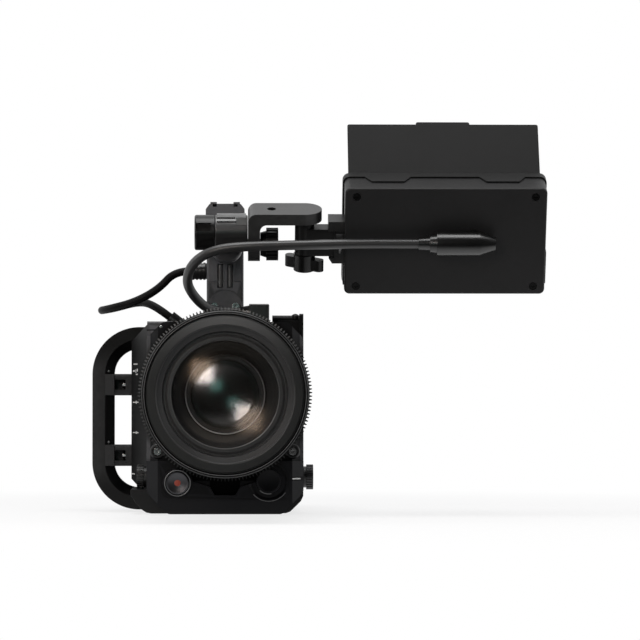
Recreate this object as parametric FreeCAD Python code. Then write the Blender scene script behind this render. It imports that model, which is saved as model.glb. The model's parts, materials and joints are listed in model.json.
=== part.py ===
"""Digital cinema camera with a zoom lens, a top handle and a tilting monitor on a side arm.

Row frame in millimetres: the lens looks along -Y, +X is to the right of someone facing the lens,
and +Z is up. The origin is the mouth of the tripod thread in the middle of the base.
"""
import FreeCAD
import Part

import math
import os

from FreeCAD import Vector

# Clearances that several pieces share
RUN_GAP = 0.08          # radial gap of a shaft or ring that turns
SIDE_GAP = 0.3          # gap between pieces that move past each other
SEAT_GAP = 0.15         # gap round a piece that is dropped into a seat

# Camera body
BODY_HALF_W = 58.5
BODY_H = 143.0
BODY_FRONT_Y = -56.0
BODY_REAR_Y = 82.0
TOP_CUT = 12.0          # 45 degree cut along the top edges
BOTTOM_CUT = 16.0       # 45 degree cut along the bottom edges
CORNER_R = 5.0
WALL = 4.5
BASE_T = 6.0
TOP_T = 5.0
BULKHEAD_T = 4.0
REAR_T = 4.0

# Tripod threads in the base
TRIPOD_BIG_R = 4.76     # 3/8 inch thread
TRIPOD_SMALL_R = 3.175  # 1/4 inch thread
TRIPOD_SMALL_PITCH = 40.0
TRIPOD_BOSS_T = 6.0
TRIPOD_DEPTH = BASE_T + TRIPOD_BOSS_T
TRIPOD_BOSS_HALF_W = 14.0

# Front cover with its chin
COVER_T = 6.0
CHIN_T = 12.0
CHIN_TOP_Z = 39.5
BEVEL_W = 8.5
BEVEL_D = 9.0
COVER_BORE_R = 50.0
NOTCH_D = 5.0
NOTCH_BOTTOM_Z = 14.0
NOTCH_STEP_Z = 20.2
NOTCH_SHOULDER_Z = 24.5
NOTCH_BOTTOM_HALF = 7.7
NOTCH_STEP_HALF = 11.2
NOTCH_HALF = 25.2
CHIN_FLAT_Z = 10.0      # below this the chin leans back
CHIN_LEAN = 1.2

# Record button and lens release button in the chin
REC_X = -35.3
REC_Z = 23.2
REC_R = 8.6
REC_BEZEL_W = 1.7
REC_PROUD = 2.0
REC_TRAVEL = 1.2
RELEASE_X = 32.4
RELEASE_Z = 24.9
RELEASE_R = 9.2
RELEASE_DISH_R = 14.4
RELEASE_DISH_D = 1.6
RELEASE_TRAVEL = 2.5
BUTTON_DEPTH = 6.0
DISH_SPHERE = 26.0      # radius of the finger hollow in a button

# Dials on both sides of the chin
DIAL_Y = -37.0
DIAL_Z = 27.0
DIAL_R = 9.4
DIAL_L = 7.3
DIAL_RIBS = 28
DIAL_RIB_D = 0.7
DIAL_STUB_R = 3.0

# Port panel on the left and the guard frame round it
PORT_X = -71.3
PORT_FRONT_Y = -27.0
PORT_LEAN_Y = 4.0
PORT_REAR_Y = 70.0
PORT_TAIL_Y = 79.0
PORT_BOTTOM_Z = 12.0
PORT_TOP_Z = BODY_H - 1.0
PORT_POCKET_D = 3.0
GUARD_X = -101.2
GUARD_Y = 9.0
GUARD_DEPTH = 18.0
GUARD_TOP_Z = BODY_H - 2.6
GUARD_BOTTOM_Z = 1.2
GUARD_RIM_W = 9.6
GUARD_LIP_W = 7.0       # slope inside the rim
GUARD_R = 36.0
GUARD_BARS_Z = (BODY_H - 46.6, 42.5)
GUARD_BAR_H = 16.4
GUARD_POCKET_W = 11.0
GUARD_POCKET_H = 8.0
GUARD_POCKET_D = 8.0

# Display panel, display and card door on the right
PANEL_T = 2.4
PANEL_Y0 = -34.0
PANEL_Y1 = 70.0
PANEL_Z0 = 50.0
PANEL_Z1 = BODY_H - 17.0
DISPLAY_W = 66.0
DISPLAY_H = 44.0
DISPLAY_T = 1.2
KEY_R = 4.0
KEY_PROUD = 0.9
KEY_TRAVEL = 0.6
DOOR_Y0 = 4.0
DOOR_Y1 = 66.0
DOOR_Z0 = 18.5
DOOR_Z1 = 44.0
DOOR_T = 3.0
DOOR_PIN_R = 0.8
DOOR_PIN_L = 2.0

# Fasteners
SCREW_HEAD_R = 2.8
SCREW_HEAD_L = 2.4
SCREW_HEX_R = 1.3
SCREW_SHANK_R = 1.6
SCREW_SHANK_L = 4.0

# Strap lug on the right shoulder
LUG_X = 57.7
LUG_T = 3.0
LUG_Y = -14.0
LUG_W = 14.0
LUG_BOTTOM_Z = BODY_H - 17.0
LUG_TOP_Z = BODY_H + 7.0
LUG_BAR_R = 2.9
LUG_BAR_L = 22.0

# Lens
LENS_BELOW_TOP = 54.0
LENS_AXIS_Z = BODY_H - LENS_BELOW_TOP
LENS_LENGTH = 200.0
MOUNT_T = 8.0
MOUNT_R = 44.0
MOUNT_BORE_R = 32.5
BARREL_R = 54.0
BARREL_BORE_R = 50.0
COLLAR_R = 57.0
FRONT_RING_L = 18.0
FOCUS_L = 40.0
ZOOM_L = 38.0
REAR_COLLAR_L = 6.0
IRIS_L = 26.0
REAR_BODY_L = 36.0      # fixed part between the iris ring and the mount
MID_COLLAR_L = LENS_LENGTH - FRONT_RING_L - FOCUS_L - ZOOM_L - REAR_COLLAR_L - IRIS_L - REAR_BODY_L
GEAR_MODULE = 0.8
GEAR_TEETH = 150
GEAR_W = 10.0
RING_GRIP_R = 58.2
GRIP_RIBS = 40
GRIP_RIB_H = 0.9
FRONT_RING_R = 57.0
FILTER_R = 47.5         # 95 mm filter thread
FILTER_DEPTH = 5.0
FRONT_GROOVE_R = 54.8
FRONT_GROOVE_W = 1.0
FRONT_LIP_R = 48.3
FUNNEL_RIDGE_R = 43.8
FUNNEL_LINE_R = 42.8
FUNNEL_STEP_R = 41.4
FRONT_GLASS_R = 40.0
FRONT_GLASS_SPHERE = 120.0
FRONT_GLASS_DEPTH = 7.0
RETAINER_R = 37.3
CELL_END = 27.0         # depth of the lip that the front glass rests on
CELL_LIP_R = 37.0
GROUP_GLASS_R = 25.1
GROUP_CONE_R = 36.6
GROUP_STEP_R = 29.0
GROUP_L = 16.0
GROUP_TRAVEL = 2.0
FOCUS_GROUP_DEPTH = 34.0
ZOOM_GROUP_DEPTH = 80.0
ZOOM_TRAVEL = 10.0
IRIS_DEPTH = 146.0
IRIS_T = 3.0
IRIS_HOLE_R = 14.0

# Sensor, board, heat sink and fan inside
FILTER_BOX_L = 36.0
FILTER_BOX_WALL = 5.0
SENSOR_W = 74.0
SENSOR_H = 62.0
SENSOR_T = 4.0
SENSOR_GLASS_W = 44.0
SENSOR_GLASS_H = 33.0
BOARD_T = 1.6
BOARD_Y0 = -40.0
BOARD_Y1 = 70.0
BOARD_Z0 = 24.0
BOARD_Z1 = BODY_H - 21.0
STANDOFF_R = 3.0
STANDOFF_L = 6.0
SINK_BASE_T = 4.0
SINK_FINS = 11
SINK_FIN_T = 1.6
SINK_FIN_L = 22.0
SINK_W = 84.0
SINK_H = 84.0
FAN_R = 27.0
FAN_L = 9.0
FAN_FRAME_W = 62.0
FAN_FRAME_L = 14.0
FAN_HUB_R = 9.0
FAN_BLADES = 7
FAN_PIN_R = 2.5

# Battery plate and battery on the back
PLATE_W = 92.0
PLATE_H = BODY_H - 25.0
PLATE_T = 8.0
PLATE_Z0 = 12.0
BATTERY_W = 94.0
BATTERY_H = PLATE_H + 4.0
BATTERY_T = 42.0
BATTERY_Z0 = 14.0
WEDGE_TOP_W = 40.0
WEDGE_BOTTOM_W = 20.0
WEDGE_H = 52.0
WEDGE_T = 4.0
LATCH_W = 12.0
LATCH_H = 14.0
LATCH_T = 7.0

# Top handle
POST_HALF_W = 13.9
POST_Y0 = -36.0
POST_Y1 = -10.0
GROOVE_TOP_H = 44.0     # top of the grooves above the body
POST_H = 58.0
FOOT_T = 4.0
FOOT_R = 13.0
FOOT_H = 11.0
FOOT_Z = BODY_H + FOOT_H
SEAM_H = 30.4
GRIP_HALF_W = 14.5
GRIP_FRONT_Y = -64.0
GRIP_REAR_Y = 78.0
GRIP_H = 30.0
GRIP_BOTTOM_Z = BODY_H + POST_H
GRIP_TOP_Z = GRIP_BOTTOM_Z + GRIP_H
NOSE_R = 12.0
NOSE_Z = GRIP_BOTTOM_Z - 2.0
REAR_POST_L = 20.0
SHOE_GAP = 18.6
SHOE_RAIL_W = 1.7
SHOE_LIP = 3.1
SHOE_T = 1.3
SHOE_FOOT_T = 2.3
SHOE_L = 18.0
HANDLE_KEY_Y = -14.0
HANDLE_KEY_R = 5.0

# Clamp, lock knob and tilt shaft at the front of the handle
CLAMP_X0 = -7.6
CLAMP_X1 = 16.6
CLAMP_Y = -80.0
LOCK_Z = GRIP_BOTTOM_Z + 7.8
LOCK_R = 13.1
LOCK_L = 14.8
LOCK_STUB_R = 4.0
TILT_Z = GRIP_BOTTOM_Z - 0.7
TILT_R = 12.2
TILT_SHAFT_R = 4.0
TILT_DEG = 23.0         # the arm and the monitor lean forwards by this much

# Arm, drawn upright about the tilt axis
ARM_LEG_W = 8.8
ARM_HALF_D = 12.65
ARM_TOP = 27.75
ARM_BAR_T = 8.5
ARM_ELBOW_R = 12.5
ARM_INNER_R = 5.0
ARM_THREAD_X = 34.2
TILT_KNOB_L = 13.2
TILT_KNOB_R = 12.2
TILT_KNOB_RIBS = 22
SWIVEL_X = 58.7
SWIVEL_BOLT_R = 3.0
SWIVEL_R = 7.2
SWIVEL_BOTTOM = -7.0
WING_T = 12.6
WING_CORE_R = 8.0
WING_SPAN = 15.5
WING_W = 7.0
WING_TURN_DEG = 28.0

# Monitor, drawn upright about the tilt axis
MON_X0 = 88.0
MON_W = 148.6
MON_BOTTOM = -34.4
MON_H = 83.1
MON_FACE = -14.0        # the back panel, which faces the subject
MON_SPLIT = -2.0
MON_REAR = 9.0
MON_R = 4.0
MON_EDGE = 1.6
SCREEN_W = 111.0
SCREEN_H = 63.0
SCREEN_T = 1.5
MON_SCREW_INSET_X = 8.6
MON_SCREW_INSET_Z = 6.5
MON_KEY_PROUD = 0.9
MON_KEY_D = 6.0
MON_KEY_TRAVEL = 0.5

# Sun hood
HOOD_LIP = 1.2
HOOD_DEPTH = 8.0
HOOD_TAB_W = 34.0
HOOD_TAB_L = 10.0
HOOD_WINDOW_MARGIN = 5.0
FLAP_T = 1.6
FLAP_ROLL_R = 1.5       # the rolled edge round the hinge pins
FLAP_L = 44.4
FLAP_INSET = 3.1
FLAP_W = MON_W - 2 * FLAP_INSET
FLAP_OPEN_DEG = 40.0    # above square to the screen
FLAP_PIN_R = 1.2
SIDE_FLAP_L = 44.0
SIDE_FLAP_H = 70.0
SIDE_FLAP_TAPER = 20.0

# Cables
MON_CABLE_D = 7.2
HANDLE_CABLE_D = 6.0
PLUG_LZ = 9.1
PLUG_R = 8.8
PLUG_X0 = 155.3
PLUG_X1 = 198.5
RELIEF_L = 13.4
RELIEF_R = 5.2
PLUG_GAP = 0.5
BODY_PLUG_X = 18.0
BODY_PLUG_Y = -48.0
BODY_PLUG_W = 15.0
BODY_PLUG_D = 14.0
BODY_PLUG_H = 13.6
HANDLE_PORT_Y = -24.0
HANDLE_PORT_Z = BODY_H + 39.0
HANDLE_PLUG_L = 12.0
HANDLE_PLUG_R = 6.6
TOP_PORT_X = -36.0
TOP_PORT_Y = -8.0
TOP_PLUG_R = 5.2
TOP_PLUG_L = 7.5
TOP_PLUG_LEAN_DEG = -52.0

X = Vector(1, 0, 0)
Y = Vector(0, 1, 0)
Z = Vector(0, 0, 1)
FRONT_Y = BODY_FRONT_Y - MOUNT_T - LENS_LENGTH
BASE_TOP_Z = BASE_T
TOP_PLATE_Z = BODY_H - TOP_T


def box(x0, x1, y0, y1, z0, z1):
    """A block between two corners."""
    return Part.makeBox(x1 - x0, y1 - y0, z1 - z0, Vector(x0, y0, z0))


def rod(centre, axis, radius, length):
    """A cylinder that starts at centre and runs along axis."""
    return Part.makeCylinder(radius, length, Vector(*centre), axis)


def lift(u, v, axis, at):
    """A point of a flat outline in space: axis is the direction that the outline is square to."""
    if axis == "x":
        return Vector(at, u, v)
    if axis == "y":
        return Vector(u, at, v)
    return Vector(u, v, at)


def outline(points, radius, axis, at):
    """A closed wire through points with round corners. radius is one value or one for each point."""
    count = len(points)
    radii = radius if isinstance(radius, (list, tuple)) else [radius] * count
    corners = []
    for i, (u, v) in enumerate(points):
        here = Vector(u, v, 0)
        back = Vector(*points[i - 1], 0) - here
        ahead = Vector(*points[(i + 1) % count], 0) - here
        half = back.getAngle(ahead) / 2
        reach = min(radii[i] / math.tan(half), 0.49 * back.Length, 0.49 * ahead.Length)
        if reach < 1e-6:
            corners.append((here, here, here))
            continue
        size = reach * math.tan(half)
        back.normalize()
        ahead.normalize()
        middle = back + ahead
        middle.normalize()
        deep = here + middle * (size / math.sin(half) - size)
        corners.append((here + back * reach, deep, here + ahead * reach))
    edges = []
    for i, (start, deep, end) in enumerate(corners):
        following = corners[(i + 1) % count][0]
        ends = [lift(p.x, p.y, axis, at) for p in (start, deep, end, following)]
        if (start - end).Length > 1e-6:
            edges.append(Part.Arc(ends[0], ends[1], ends[2]).toShape())
        if (end - following).Length > 1e-6:
            edges.append(Part.LineSegment(ends[2], ends[3]).toShape())
    return Part.Wire(edges)


def prism(points, radius, axis, start, end):
    """A solid of one outline, run from start to end along its axis."""
    direction = {"x": X, "y": Y, "z": Z}[axis]
    face = Part.Face(outline(points, radius, axis, start))
    return face.extrude(direction * (end - start))


def rounded_block(x0, x1, y0, y1, z0, z1, radius, axis):
    """A block whose four edges along one axis are round."""
    spans = {"x": (y0, y1, z0, z1, x0, x1), "y": (x0, x1, z0, z1, y0, y1), "z": (x0, x1, y0, y1, z0, z1)}
    u0, u1, v0, v1, start, end = spans[axis]
    return prism([(u0, v0), (u1, v0), (u1, v1), (u0, v1)], radius, axis, start, end)


def turned(profile):
    """A solid of revolution about the lens axis. The profile is a list of (radius, y)."""
    points = [Vector(radius, y, LENS_AXIS_Z) for radius, y in profile]
    face = Part.Face(Part.makePolygon(points + points[:1]))
    return face.revolve(Vector(0, 0, LENS_AXIS_Z), Y, 360)


def tilted(shape):
    """Moves a shape that was drawn upright about the tilt axis to where the leaning arm holds it."""
    moved = shape.copy()
    moved.rotate(Vector(0, 0, 0), X, TILT_DEG)
    moved.translate(Vector(0, CLAMP_Y, TILT_Z))
    return moved


def tilted_point(x, y, z):
    """The place in the row frame of a point that was drawn upright about the tilt axis."""
    turn = FreeCAD.Rotation(X, TILT_DEG)
    return turn.multVec(Vector(x, y, z)) + Vector(0, CLAMP_Y, TILT_Z)


def soften(shape, radius, choose):
    """Rounds the edges that choose accepts."""
    edges = [edge for edge in shape.Edges if choose(edge)]
    return shape.makeFillet(radius, edges)


def level_line(edge, axis, value):
    """True for a straight edge whose two ends both have this value on the axis."""
    if edge.Curve.TypeId != "Part::GeomLine":
        return False
    return all(abs(getattr(v.Point, axis) - value) < 1e-4 for v in edge.Vertexes)


def body_outline(inset=0.0, bottom=0.0, top=BODY_H):
    """The body's section as seen from the front, with its cut corners."""
    half = BODY_HALF_W - inset
    slant = inset * (math.sqrt(2) - 1)
    low = bottom + inset
    high = top - inset
    low_cut = BOTTOM_CUT - slant
    high_cut = TOP_CUT - slant
    return [
        (-half, low + low_cut), (-half + low_cut, low), (half - low_cut, low), (half, low + low_cut),
        (half, high - high_cut), (half - high_cut, high), (-half + high_cut, high), (-half, high - high_cut),
    ]


def body_block(y0, y1, inset=0.0):
    """The body's section run from y0 to y1."""
    return prism(body_outline(inset), CORNER_R, "y", y0, y1)


def ribbed_disc(radius, ribs, depth, length):
    """A knob of round outline with ribs along its axis, which is X from the origin."""
    points = []
    step = 2 * math.pi / ribs
    for i in range(ribs):
        for share, reach in ((0.0, radius), (0.5, radius), (0.6, radius - depth), (0.9, radius - depth)):
            angle = (i + share) * step
            points.append(Vector(0, reach * math.cos(angle), reach * math.sin(angle)))
    return Part.Face(Part.makePolygon(points + points[:1])).extrude(X * length)


def socket_screw(place, direction):
    """A cap screw whose head stands on place, with its shank along direction."""
    inward = Vector(direction)
    head = rod(place, inward * -1, SCREW_HEAD_R, SCREW_HEAD_L)
    shank = rod(place, inward, SCREW_SHANK_R, SCREW_SHANK_L)
    top = Vector(*place) - inward * SCREW_HEAD_L
    across = Vector(inward.z, inward.x, inward.y)
    corner = across * SCREW_HEX_R
    points = []
    for i in range(6):
        points.append(top + FreeCAD.Rotation(inward, 60 * i).multVec(corner))
    hexagon = Part.Face(Part.makePolygon(points + points[:1])).extrude(inward * (SCREW_HEAD_L * 0.6))
    return head.fuse(shank).cut(hexagon).removeSplitter()


def screw_bore(place, direction):
    """The hole that the shank of a cap screw needs."""
    start = Vector(*place) - Vector(direction) * 0.5
    return Part.makeCylinder(SCREW_SHANK_R + SEAT_GAP, SCREW_SHANK_L + 1.0, start, Vector(direction))


# Places of the cap screws: point that the head stands on, and the way the shank goes in
CHIN_SCREWS = [((side * 50.2, BODY_FRONT_Y - COVER_T, 46.6), (0, 1, 0)) for side in (-1, 1)]
POST_SCREWS = [((side * 8.0, POST_Y0 - FOOT_T, FOOT_Z + 1.0), (0, 1, 0)) for side in (-1, 1)]
GUARD_SCREWS = [
    ((GUARD_X + GUARD_RIM_W + GUARD_LIP_W + GUARD_POCKET_W - SCREW_HEAD_L, GUARD_Y + GUARD_DEPTH / 2, z), (1, 0, 0))
    for z in GUARD_BARS_Z
]
REAR_SCREWS = [
    ((side * (PLATE_W / 2 - 6.0), BODY_REAR_Y + REAR_T, z), (0, -1, 0))
    for side in (-1, 1) for z in (PLATE_Z0 - 5.0 + 1.0, PLATE_Z0 + PLATE_H + 4.6)
]


def body_shell():
    """The main housing, open above, below and behind, with the mount's bulkhead in front."""
    outer = body_block(BODY_FRONT_Y, BODY_REAR_Y)
    room = body_block(BODY_FRONT_Y + BULKHEAD_T, BODY_REAR_Y + 1, WALL)
    chimney = box(
        -BODY_HALF_W + BOTTOM_CUT + WALL, BODY_HALF_W - BOTTOM_CUT - WALL,
        BODY_FRONT_Y + BULKHEAD_T, BODY_REAR_Y + 1, -1, BODY_H + 1,
    )
    shell = outer.cut(room).cut(chimney)
    shell = shell.cut(box(-100, 100, -100, 100, -1, BASE_TOP_Z)).cut(box(-100, 100, -100, 100, TOP_PLATE_Z, 200))
    shell = shell.cut(rod((0, BODY_FRONT_Y - 1, LENS_AXIS_Z), Y, MOUNT_BORE_R, BULKHEAD_T + 2))
    for side in (-1, 1):
        start = side * (BODY_HALF_W + 1)
        shell = shell.cut(rod((start, DIAL_Y, DIAL_Z), X * -side, DIAL_STUB_R + RUN_GAP, WALL + 2))
    panel_seat = rounded_block(
        BODY_HALF_W - PANEL_T, BODY_HALF_W + 1, PANEL_Y0 - SEAT_GAP, PANEL_Y1 + SEAT_GAP,
        PANEL_Z0 - SEAT_GAP, PANEL_Z1 + SEAT_GAP, 4.0, "x",
    )
    door_seat = box(
        BODY_HALF_W - DOOR_T - SIDE_GAP, BODY_HALF_W + 1, DOOR_Y0 - SIDE_GAP, DOOR_Y1 + SIDE_GAP,
        DOOR_Z0 - SIDE_GAP, DOOR_Z1 + SIDE_GAP,
    )
    shell = shell.cut(panel_seat).cut(door_seat)
    card_slot = box(BODY_HALF_W - WALL - 1, BODY_HALF_W, DOOR_Y0 + 8, DOOR_Y1 - 8, DOOR_Z0 + 8, DOOR_Z1 - 5)
    shell = shell.cut(card_slot)
    for end, inward in ((DOOR_Y0, 1), (DOOR_Y1, -1)):
        pin_y = end - inward * 3.0
        pin = rod(door_axis(pin_y), Y * inward, DOOR_PIN_R, 5.0)
        shell = shell.fuse(pin)
    return shell.fuse(filter_box()).removeSplitter()


def door_axis(y):
    """A point on the card door's hinge line."""
    return (BODY_HALF_W - DOOR_T / 2, y, DOOR_Z0 + DOOR_T / 2)


def base_plate():
    """The plate that the camera stands on, with tripod threads in a boss."""
    plate = body_block(BODY_FRONT_Y, BODY_REAR_Y).common(box(-100, 100, -100, 100, 0, BASE_TOP_Z))
    boss = rounded_block(
        -TRIPOD_BOSS_HALF_W, TRIPOD_BOSS_HALF_W, -TRIPOD_SMALL_PITCH / 2 - 8, TRIPOD_SMALL_PITCH / 2 + 8,
        BASE_TOP_Z - 1, BASE_TOP_Z + TRIPOD_BOSS_T, 6.0, "z",
    )
    plate = plate.fuse(boss).cut(rod((0, 0, -1), Z, TRIPOD_BIG_R, TRIPOD_DEPTH + 2))
    for side in (-1, 1):
        plate = plate.cut(rod((0, side * TRIPOD_SMALL_PITCH / 2, -1), Z, TRIPOD_SMALL_R, TRIPOD_DEPTH + 2))
    for i in range(6):
        x = -30.0 + 12.0 * i
        vent = rounded_block(x - 2.0, x + 2.0, 40.0, 66.0, -1, BASE_TOP_Z + 1, 1.9, "z")
        plate = plate.cut(vent)
    return plate.removeSplitter()


def top_plate():
    """The plate under the handle, with accessory threads and two cable ports."""
    plate = body_block(BODY_FRONT_Y, BODY_REAR_Y).common(box(-100, 100, -100, 100, TOP_PLATE_Z, BODY_H))
    for x in (-30.0, 30.0):
        for y in (16.0, 36.0, 56.0):
            plate = plate.cut(rod((x, y, BODY_H - 4.0), Z, TRIPOD_SMALL_R, 5.0))
    return plate.fuse(shoulder_cover()).removeSplitter()


def rear_cover():
    """The closing cover at the back, with a screen of cooling slots at each side."""
    cover = body_block(BODY_REAR_Y, BODY_REAR_Y + REAR_T)
    for i in range(9):
        z = 30.0 + 10.0 * i
        for side in (-1, 1):
            middle = side * (PLATE_W / 2 + (BODY_HALF_W - PLATE_W / 2) / 2)
            cover = cover.cut(rounded_block(middle - 3.2, middle + 3.2, BODY_REAR_Y - 1, BODY_REAR_Y + REAR_T + 1,
                                            z - 1.6, z + 1.6, 1.5, "y"))
    for place, direction in REAR_SCREWS:
        cover = cover.cut(screw_bore(place, direction))
    return cover


def front_cover():
    """The front cover: a frame round the mount, and the chin that carries the two buttons."""
    frame_face = BODY_FRONT_Y - COVER_T
    chin_face = BODY_FRONT_Y - CHIN_T
    frame = body_block(frame_face, BODY_FRONT_Y)
    chin = body_block(chin_face, BODY_FRONT_Y).common(box(-100, 100, -100, 0, 0, CHIN_TOP_Z))
    lean = prism(
        [(chin_face - 1, -1), (chin_face + CHIN_LEAN, -1), (chin_face + CHIN_LEAN, 0), (chin_face, CHIN_FLAT_Z),
         (chin_face - 1, CHIN_FLAT_Z)], 0, "x", -100, 100)
    cover = frame.fuse(chin.cut(lean))
    for side in (-1, 1):
        for face in (frame_face, chin_face):
            low = CHIN_TOP_Z if face == frame_face else 0.0
            high = BODY_H if face == frame_face else CHIN_TOP_Z
            wedge = prism(
                [(side * (BODY_HALF_W - BEVEL_W), face), (side * (BODY_HALF_W + 5), face - 1),
                 (side * (BODY_HALF_W + 5), face + BEVEL_D), (side * BODY_HALF_W, face + BEVEL_D)],
                0, "z", low, high)
            cover = cover.cut(wedge)
    cover = cover.cut(rod((0, chin_face - 1, LENS_AXIS_Z), Y, COVER_BORE_R, CHIN_T + 2))
    notch = prism(
        [(-NOTCH_BOTTOM_HALF, NOTCH_BOTTOM_Z), (NOTCH_BOTTOM_HALF, NOTCH_BOTTOM_Z), (NOTCH_STEP_HALF, NOTCH_STEP_Z),
         (NOTCH_HALF, NOTCH_SHOULDER_Z), (NOTCH_HALF, CHIN_TOP_Z + 8), (-NOTCH_HALF, CHIN_TOP_Z + 8),
         (-NOTCH_HALF, NOTCH_SHOULDER_Z), (-NOTCH_STEP_HALF, NOTCH_STEP_Z)],
        0.8, "y", chin_face - 1, chin_face + NOTCH_D)
    cover = cover.cut(notch)
    bezel = rod((REC_X, chin_face - REC_PROUD + 0.8, REC_Z), Y, REC_R + REC_BEZEL_W, REC_PROUD + 1)
    dish = Part.makeCone(RELEASE_DISH_R, RELEASE_DISH_R - RELEASE_DISH_D, RELEASE_DISH_D,
                         Vector(RELEASE_X, chin_face, RELEASE_Z), Y)
    cover = cover.fuse(bezel).cut(dish)
    for x, z, radius in ((REC_X, REC_Z, REC_R), (RELEASE_X, RELEASE_Z, RELEASE_R)):
        cover = cover.cut(rod((x, chin_face - 5, z), Y, radius + SEAT_GAP, 5 + BUTTON_DEPTH + 3.2))
    for place, direction in CHIN_SCREWS:
        cover = cover.cut(screw_bore(place, direction))
    return cover.removeSplitter()


def dished_button(x, z, radius, face_y):
    """A round push button with a finger hollow in its face."""
    length = BUTTON_DEPTH
    button = rod((x, face_y, z), Y, radius, length)
    button = soften(button, 0.7, lambda e: abs(e.BoundBox.YMax - face_y) < 1e-4)
    reach = math.sqrt(DISH_SPHERE ** 2 - (radius * 0.82) ** 2)
    return button.cut(Part.makeSphere(DISH_SPHERE, Vector(x, face_y - reach, z)))


def rec_button():
    return dished_button(REC_X, REC_Z, REC_R, BODY_FRONT_Y - CHIN_T - REC_PROUD)


def release_button():
    return dished_button(RELEASE_X, RELEASE_Z, RELEASE_R, BODY_FRONT_Y - CHIN_T)


def side_dial(side):
    """A ribbed thumb dial with a stub that turns in the housing's wall."""
    cap = ribbed_disc(DIAL_R, DIAL_RIBS, DIAL_RIB_D, DIAL_L * 0.7)
    collar = rod((-DIAL_L * 0.3, 0, 0), X, DIAL_R - 1.4, DIAL_L * 0.3 + 0.01)
    stub = rod((-DIAL_L * 0.3 - WALL - SIDE_GAP + 0.4, 0, 0), X, DIAL_STUB_R, WALL + SIDE_GAP)
    dial = cap.fuse(collar).fuse(stub).removeSplitter()
    dial.translate(Vector(BODY_HALF_W + SIDE_GAP + DIAL_L * 0.3, 0, 0))
    if side < 0:
        dial = dial.mirror(Vector(0, 0, 0), X)
    dial.translate(Vector(0, DIAL_Y, DIAL_Z))
    return dial


def port_panel():
    """The raised panel on the left with a leaning front face and recessed sockets."""
    plan = [(-BODY_HALF_W, PORT_FRONT_Y), (PORT_X, PORT_LEAN_Y), (PORT_X, PORT_REAR_Y), (-BODY_HALF_W, PORT_TAIL_Y)]
    panel = prism(plan, [0, 3.0, 3.0, 0], "z", PORT_BOTTOM_Z, PORT_TOP_Z)
    width = -BODY_HALF_W - PORT_X
    for z, way in ((PORT_TOP_Z, -1), (PORT_BOTTOM_Z, 1)):
        wedge = prism([(PORT_X - 1, z + way * (width + 1)), (-BODY_HALF_W, z), (-BODY_HALF_W, z - way * 3),
                       (PORT_X - 1, z - way * 3)], 0, "y", -60, 100)
        panel = panel.cut(wedge)
    panel = panel.cut(body_block(BODY_FRONT_Y, BODY_REAR_Y))
    socket_y = GUARD_Y + GUARD_DEPTH + 17.0
    for z in (112.0, 88.0, 64.0):
        seat = rounded_block(PORT_X - 1, PORT_X + PORT_POCKET_D, socket_y - 9, socket_y + 9, z - 9, z + 9, 3.0, "x")
        pin = rod((PORT_X + 0.4, socket_y, z), X, 4.8, PORT_POCKET_D + 1).cut(
            rod((PORT_X, socket_y, z), X, 3.4, PORT_POCKET_D + 2))
        panel = panel.cut(seat).fuse(pin)
    return panel.removeSplitter()


def side_guard():
    """The frame that stands out round the sockets: a broad C with two bolted cross bars."""
    y0 = GUARD_Y
    y1 = GUARD_Y + GUARD_DEPTH
    right = PORT_X + 10.0
    far = GUARD_X + 2.2 * GUARD_R
    outer = prism([(GUARD_X, GUARD_BOTTOM_Z), (far, GUARD_BOTTOM_Z), (far, GUARD_TOP_Z), (GUARD_X, GUARD_TOP_Z)],
                  [GUARD_R, 0, 0, GUARD_R], "y", y0, y1)

    def hole(rim, radius):
        return [(GUARD_X + rim, GUARD_BOTTOM_Z + rim), (far + 1, GUARD_BOTTOM_Z + rim),
                (far + 1, GUARD_TOP_Z - rim), (GUARD_X + rim, GUARD_TOP_Z - rim)], [radius, 0, 0, radius]

    wide_points, wide_radii = hole(GUARD_RIM_W, GUARD_R - GUARD_RIM_W)
    slim = GUARD_RIM_W + GUARD_LIP_W
    slim_points, slim_radii = hole(slim, GUARD_R - slim)
    funnel = Part.makeLoft([outline(wide_points, wide_radii, "y", y0), outline(slim_points, slim_radii, "y", y0 + 9)],
                           True, True)
    guard = outer.cut(funnel).cut(prism(slim_points, slim_radii, "y", y0, y1 + 1))
    guard = guard.common(box(GUARD_X - 1, right, y0 - 1, y1 + 1, GUARD_BOTTOM_Z - 1, GUARD_TOP_Z + 1))
    for z in GUARD_BARS_Z:
        bar = rounded_block(GUARD_X + slim - 3, right, y0 + 1.5, y1 - 1.5, z - GUARD_BAR_H / 2, z + GUARD_BAR_H / 2,
                            2.5, "x")
        pocket = rounded_block(
            GUARD_X + slim, GUARD_X + slim + GUARD_POCKET_W - SCREW_HEAD_L, y0, y0 + GUARD_DEPTH / 2 + GUARD_POCKET_H / 2,
            z - GUARD_POCKET_H / 2, z + GUARD_POCKET_H / 2, 0.9, "y")
        guard = guard.fuse(bar).cut(pocket)
    guard = guard.cut(port_panel_solid()).cut(body_block(BODY_FRONT_Y, BODY_REAR_Y))
    for place, direction in GUARD_SCREWS:
        guard = guard.cut(screw_bore(place, direction))
    return guard.removeSplitter()


def port_panel_solid():
    """The port panel's outer shape with nothing cut in it."""
    width = -BODY_HALF_W - PORT_X
    points = [(-BODY_HALF_W + 1, PORT_BOTTOM_Z - 1), (PORT_X, PORT_BOTTOM_Z + width), (PORT_X, PORT_TOP_Z - width),
              (-BODY_HALF_W + 1, PORT_TOP_Z + 1)]
    return prism(points, 0, "y", PORT_LEAN_Y, PORT_REAR_Y)


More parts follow.
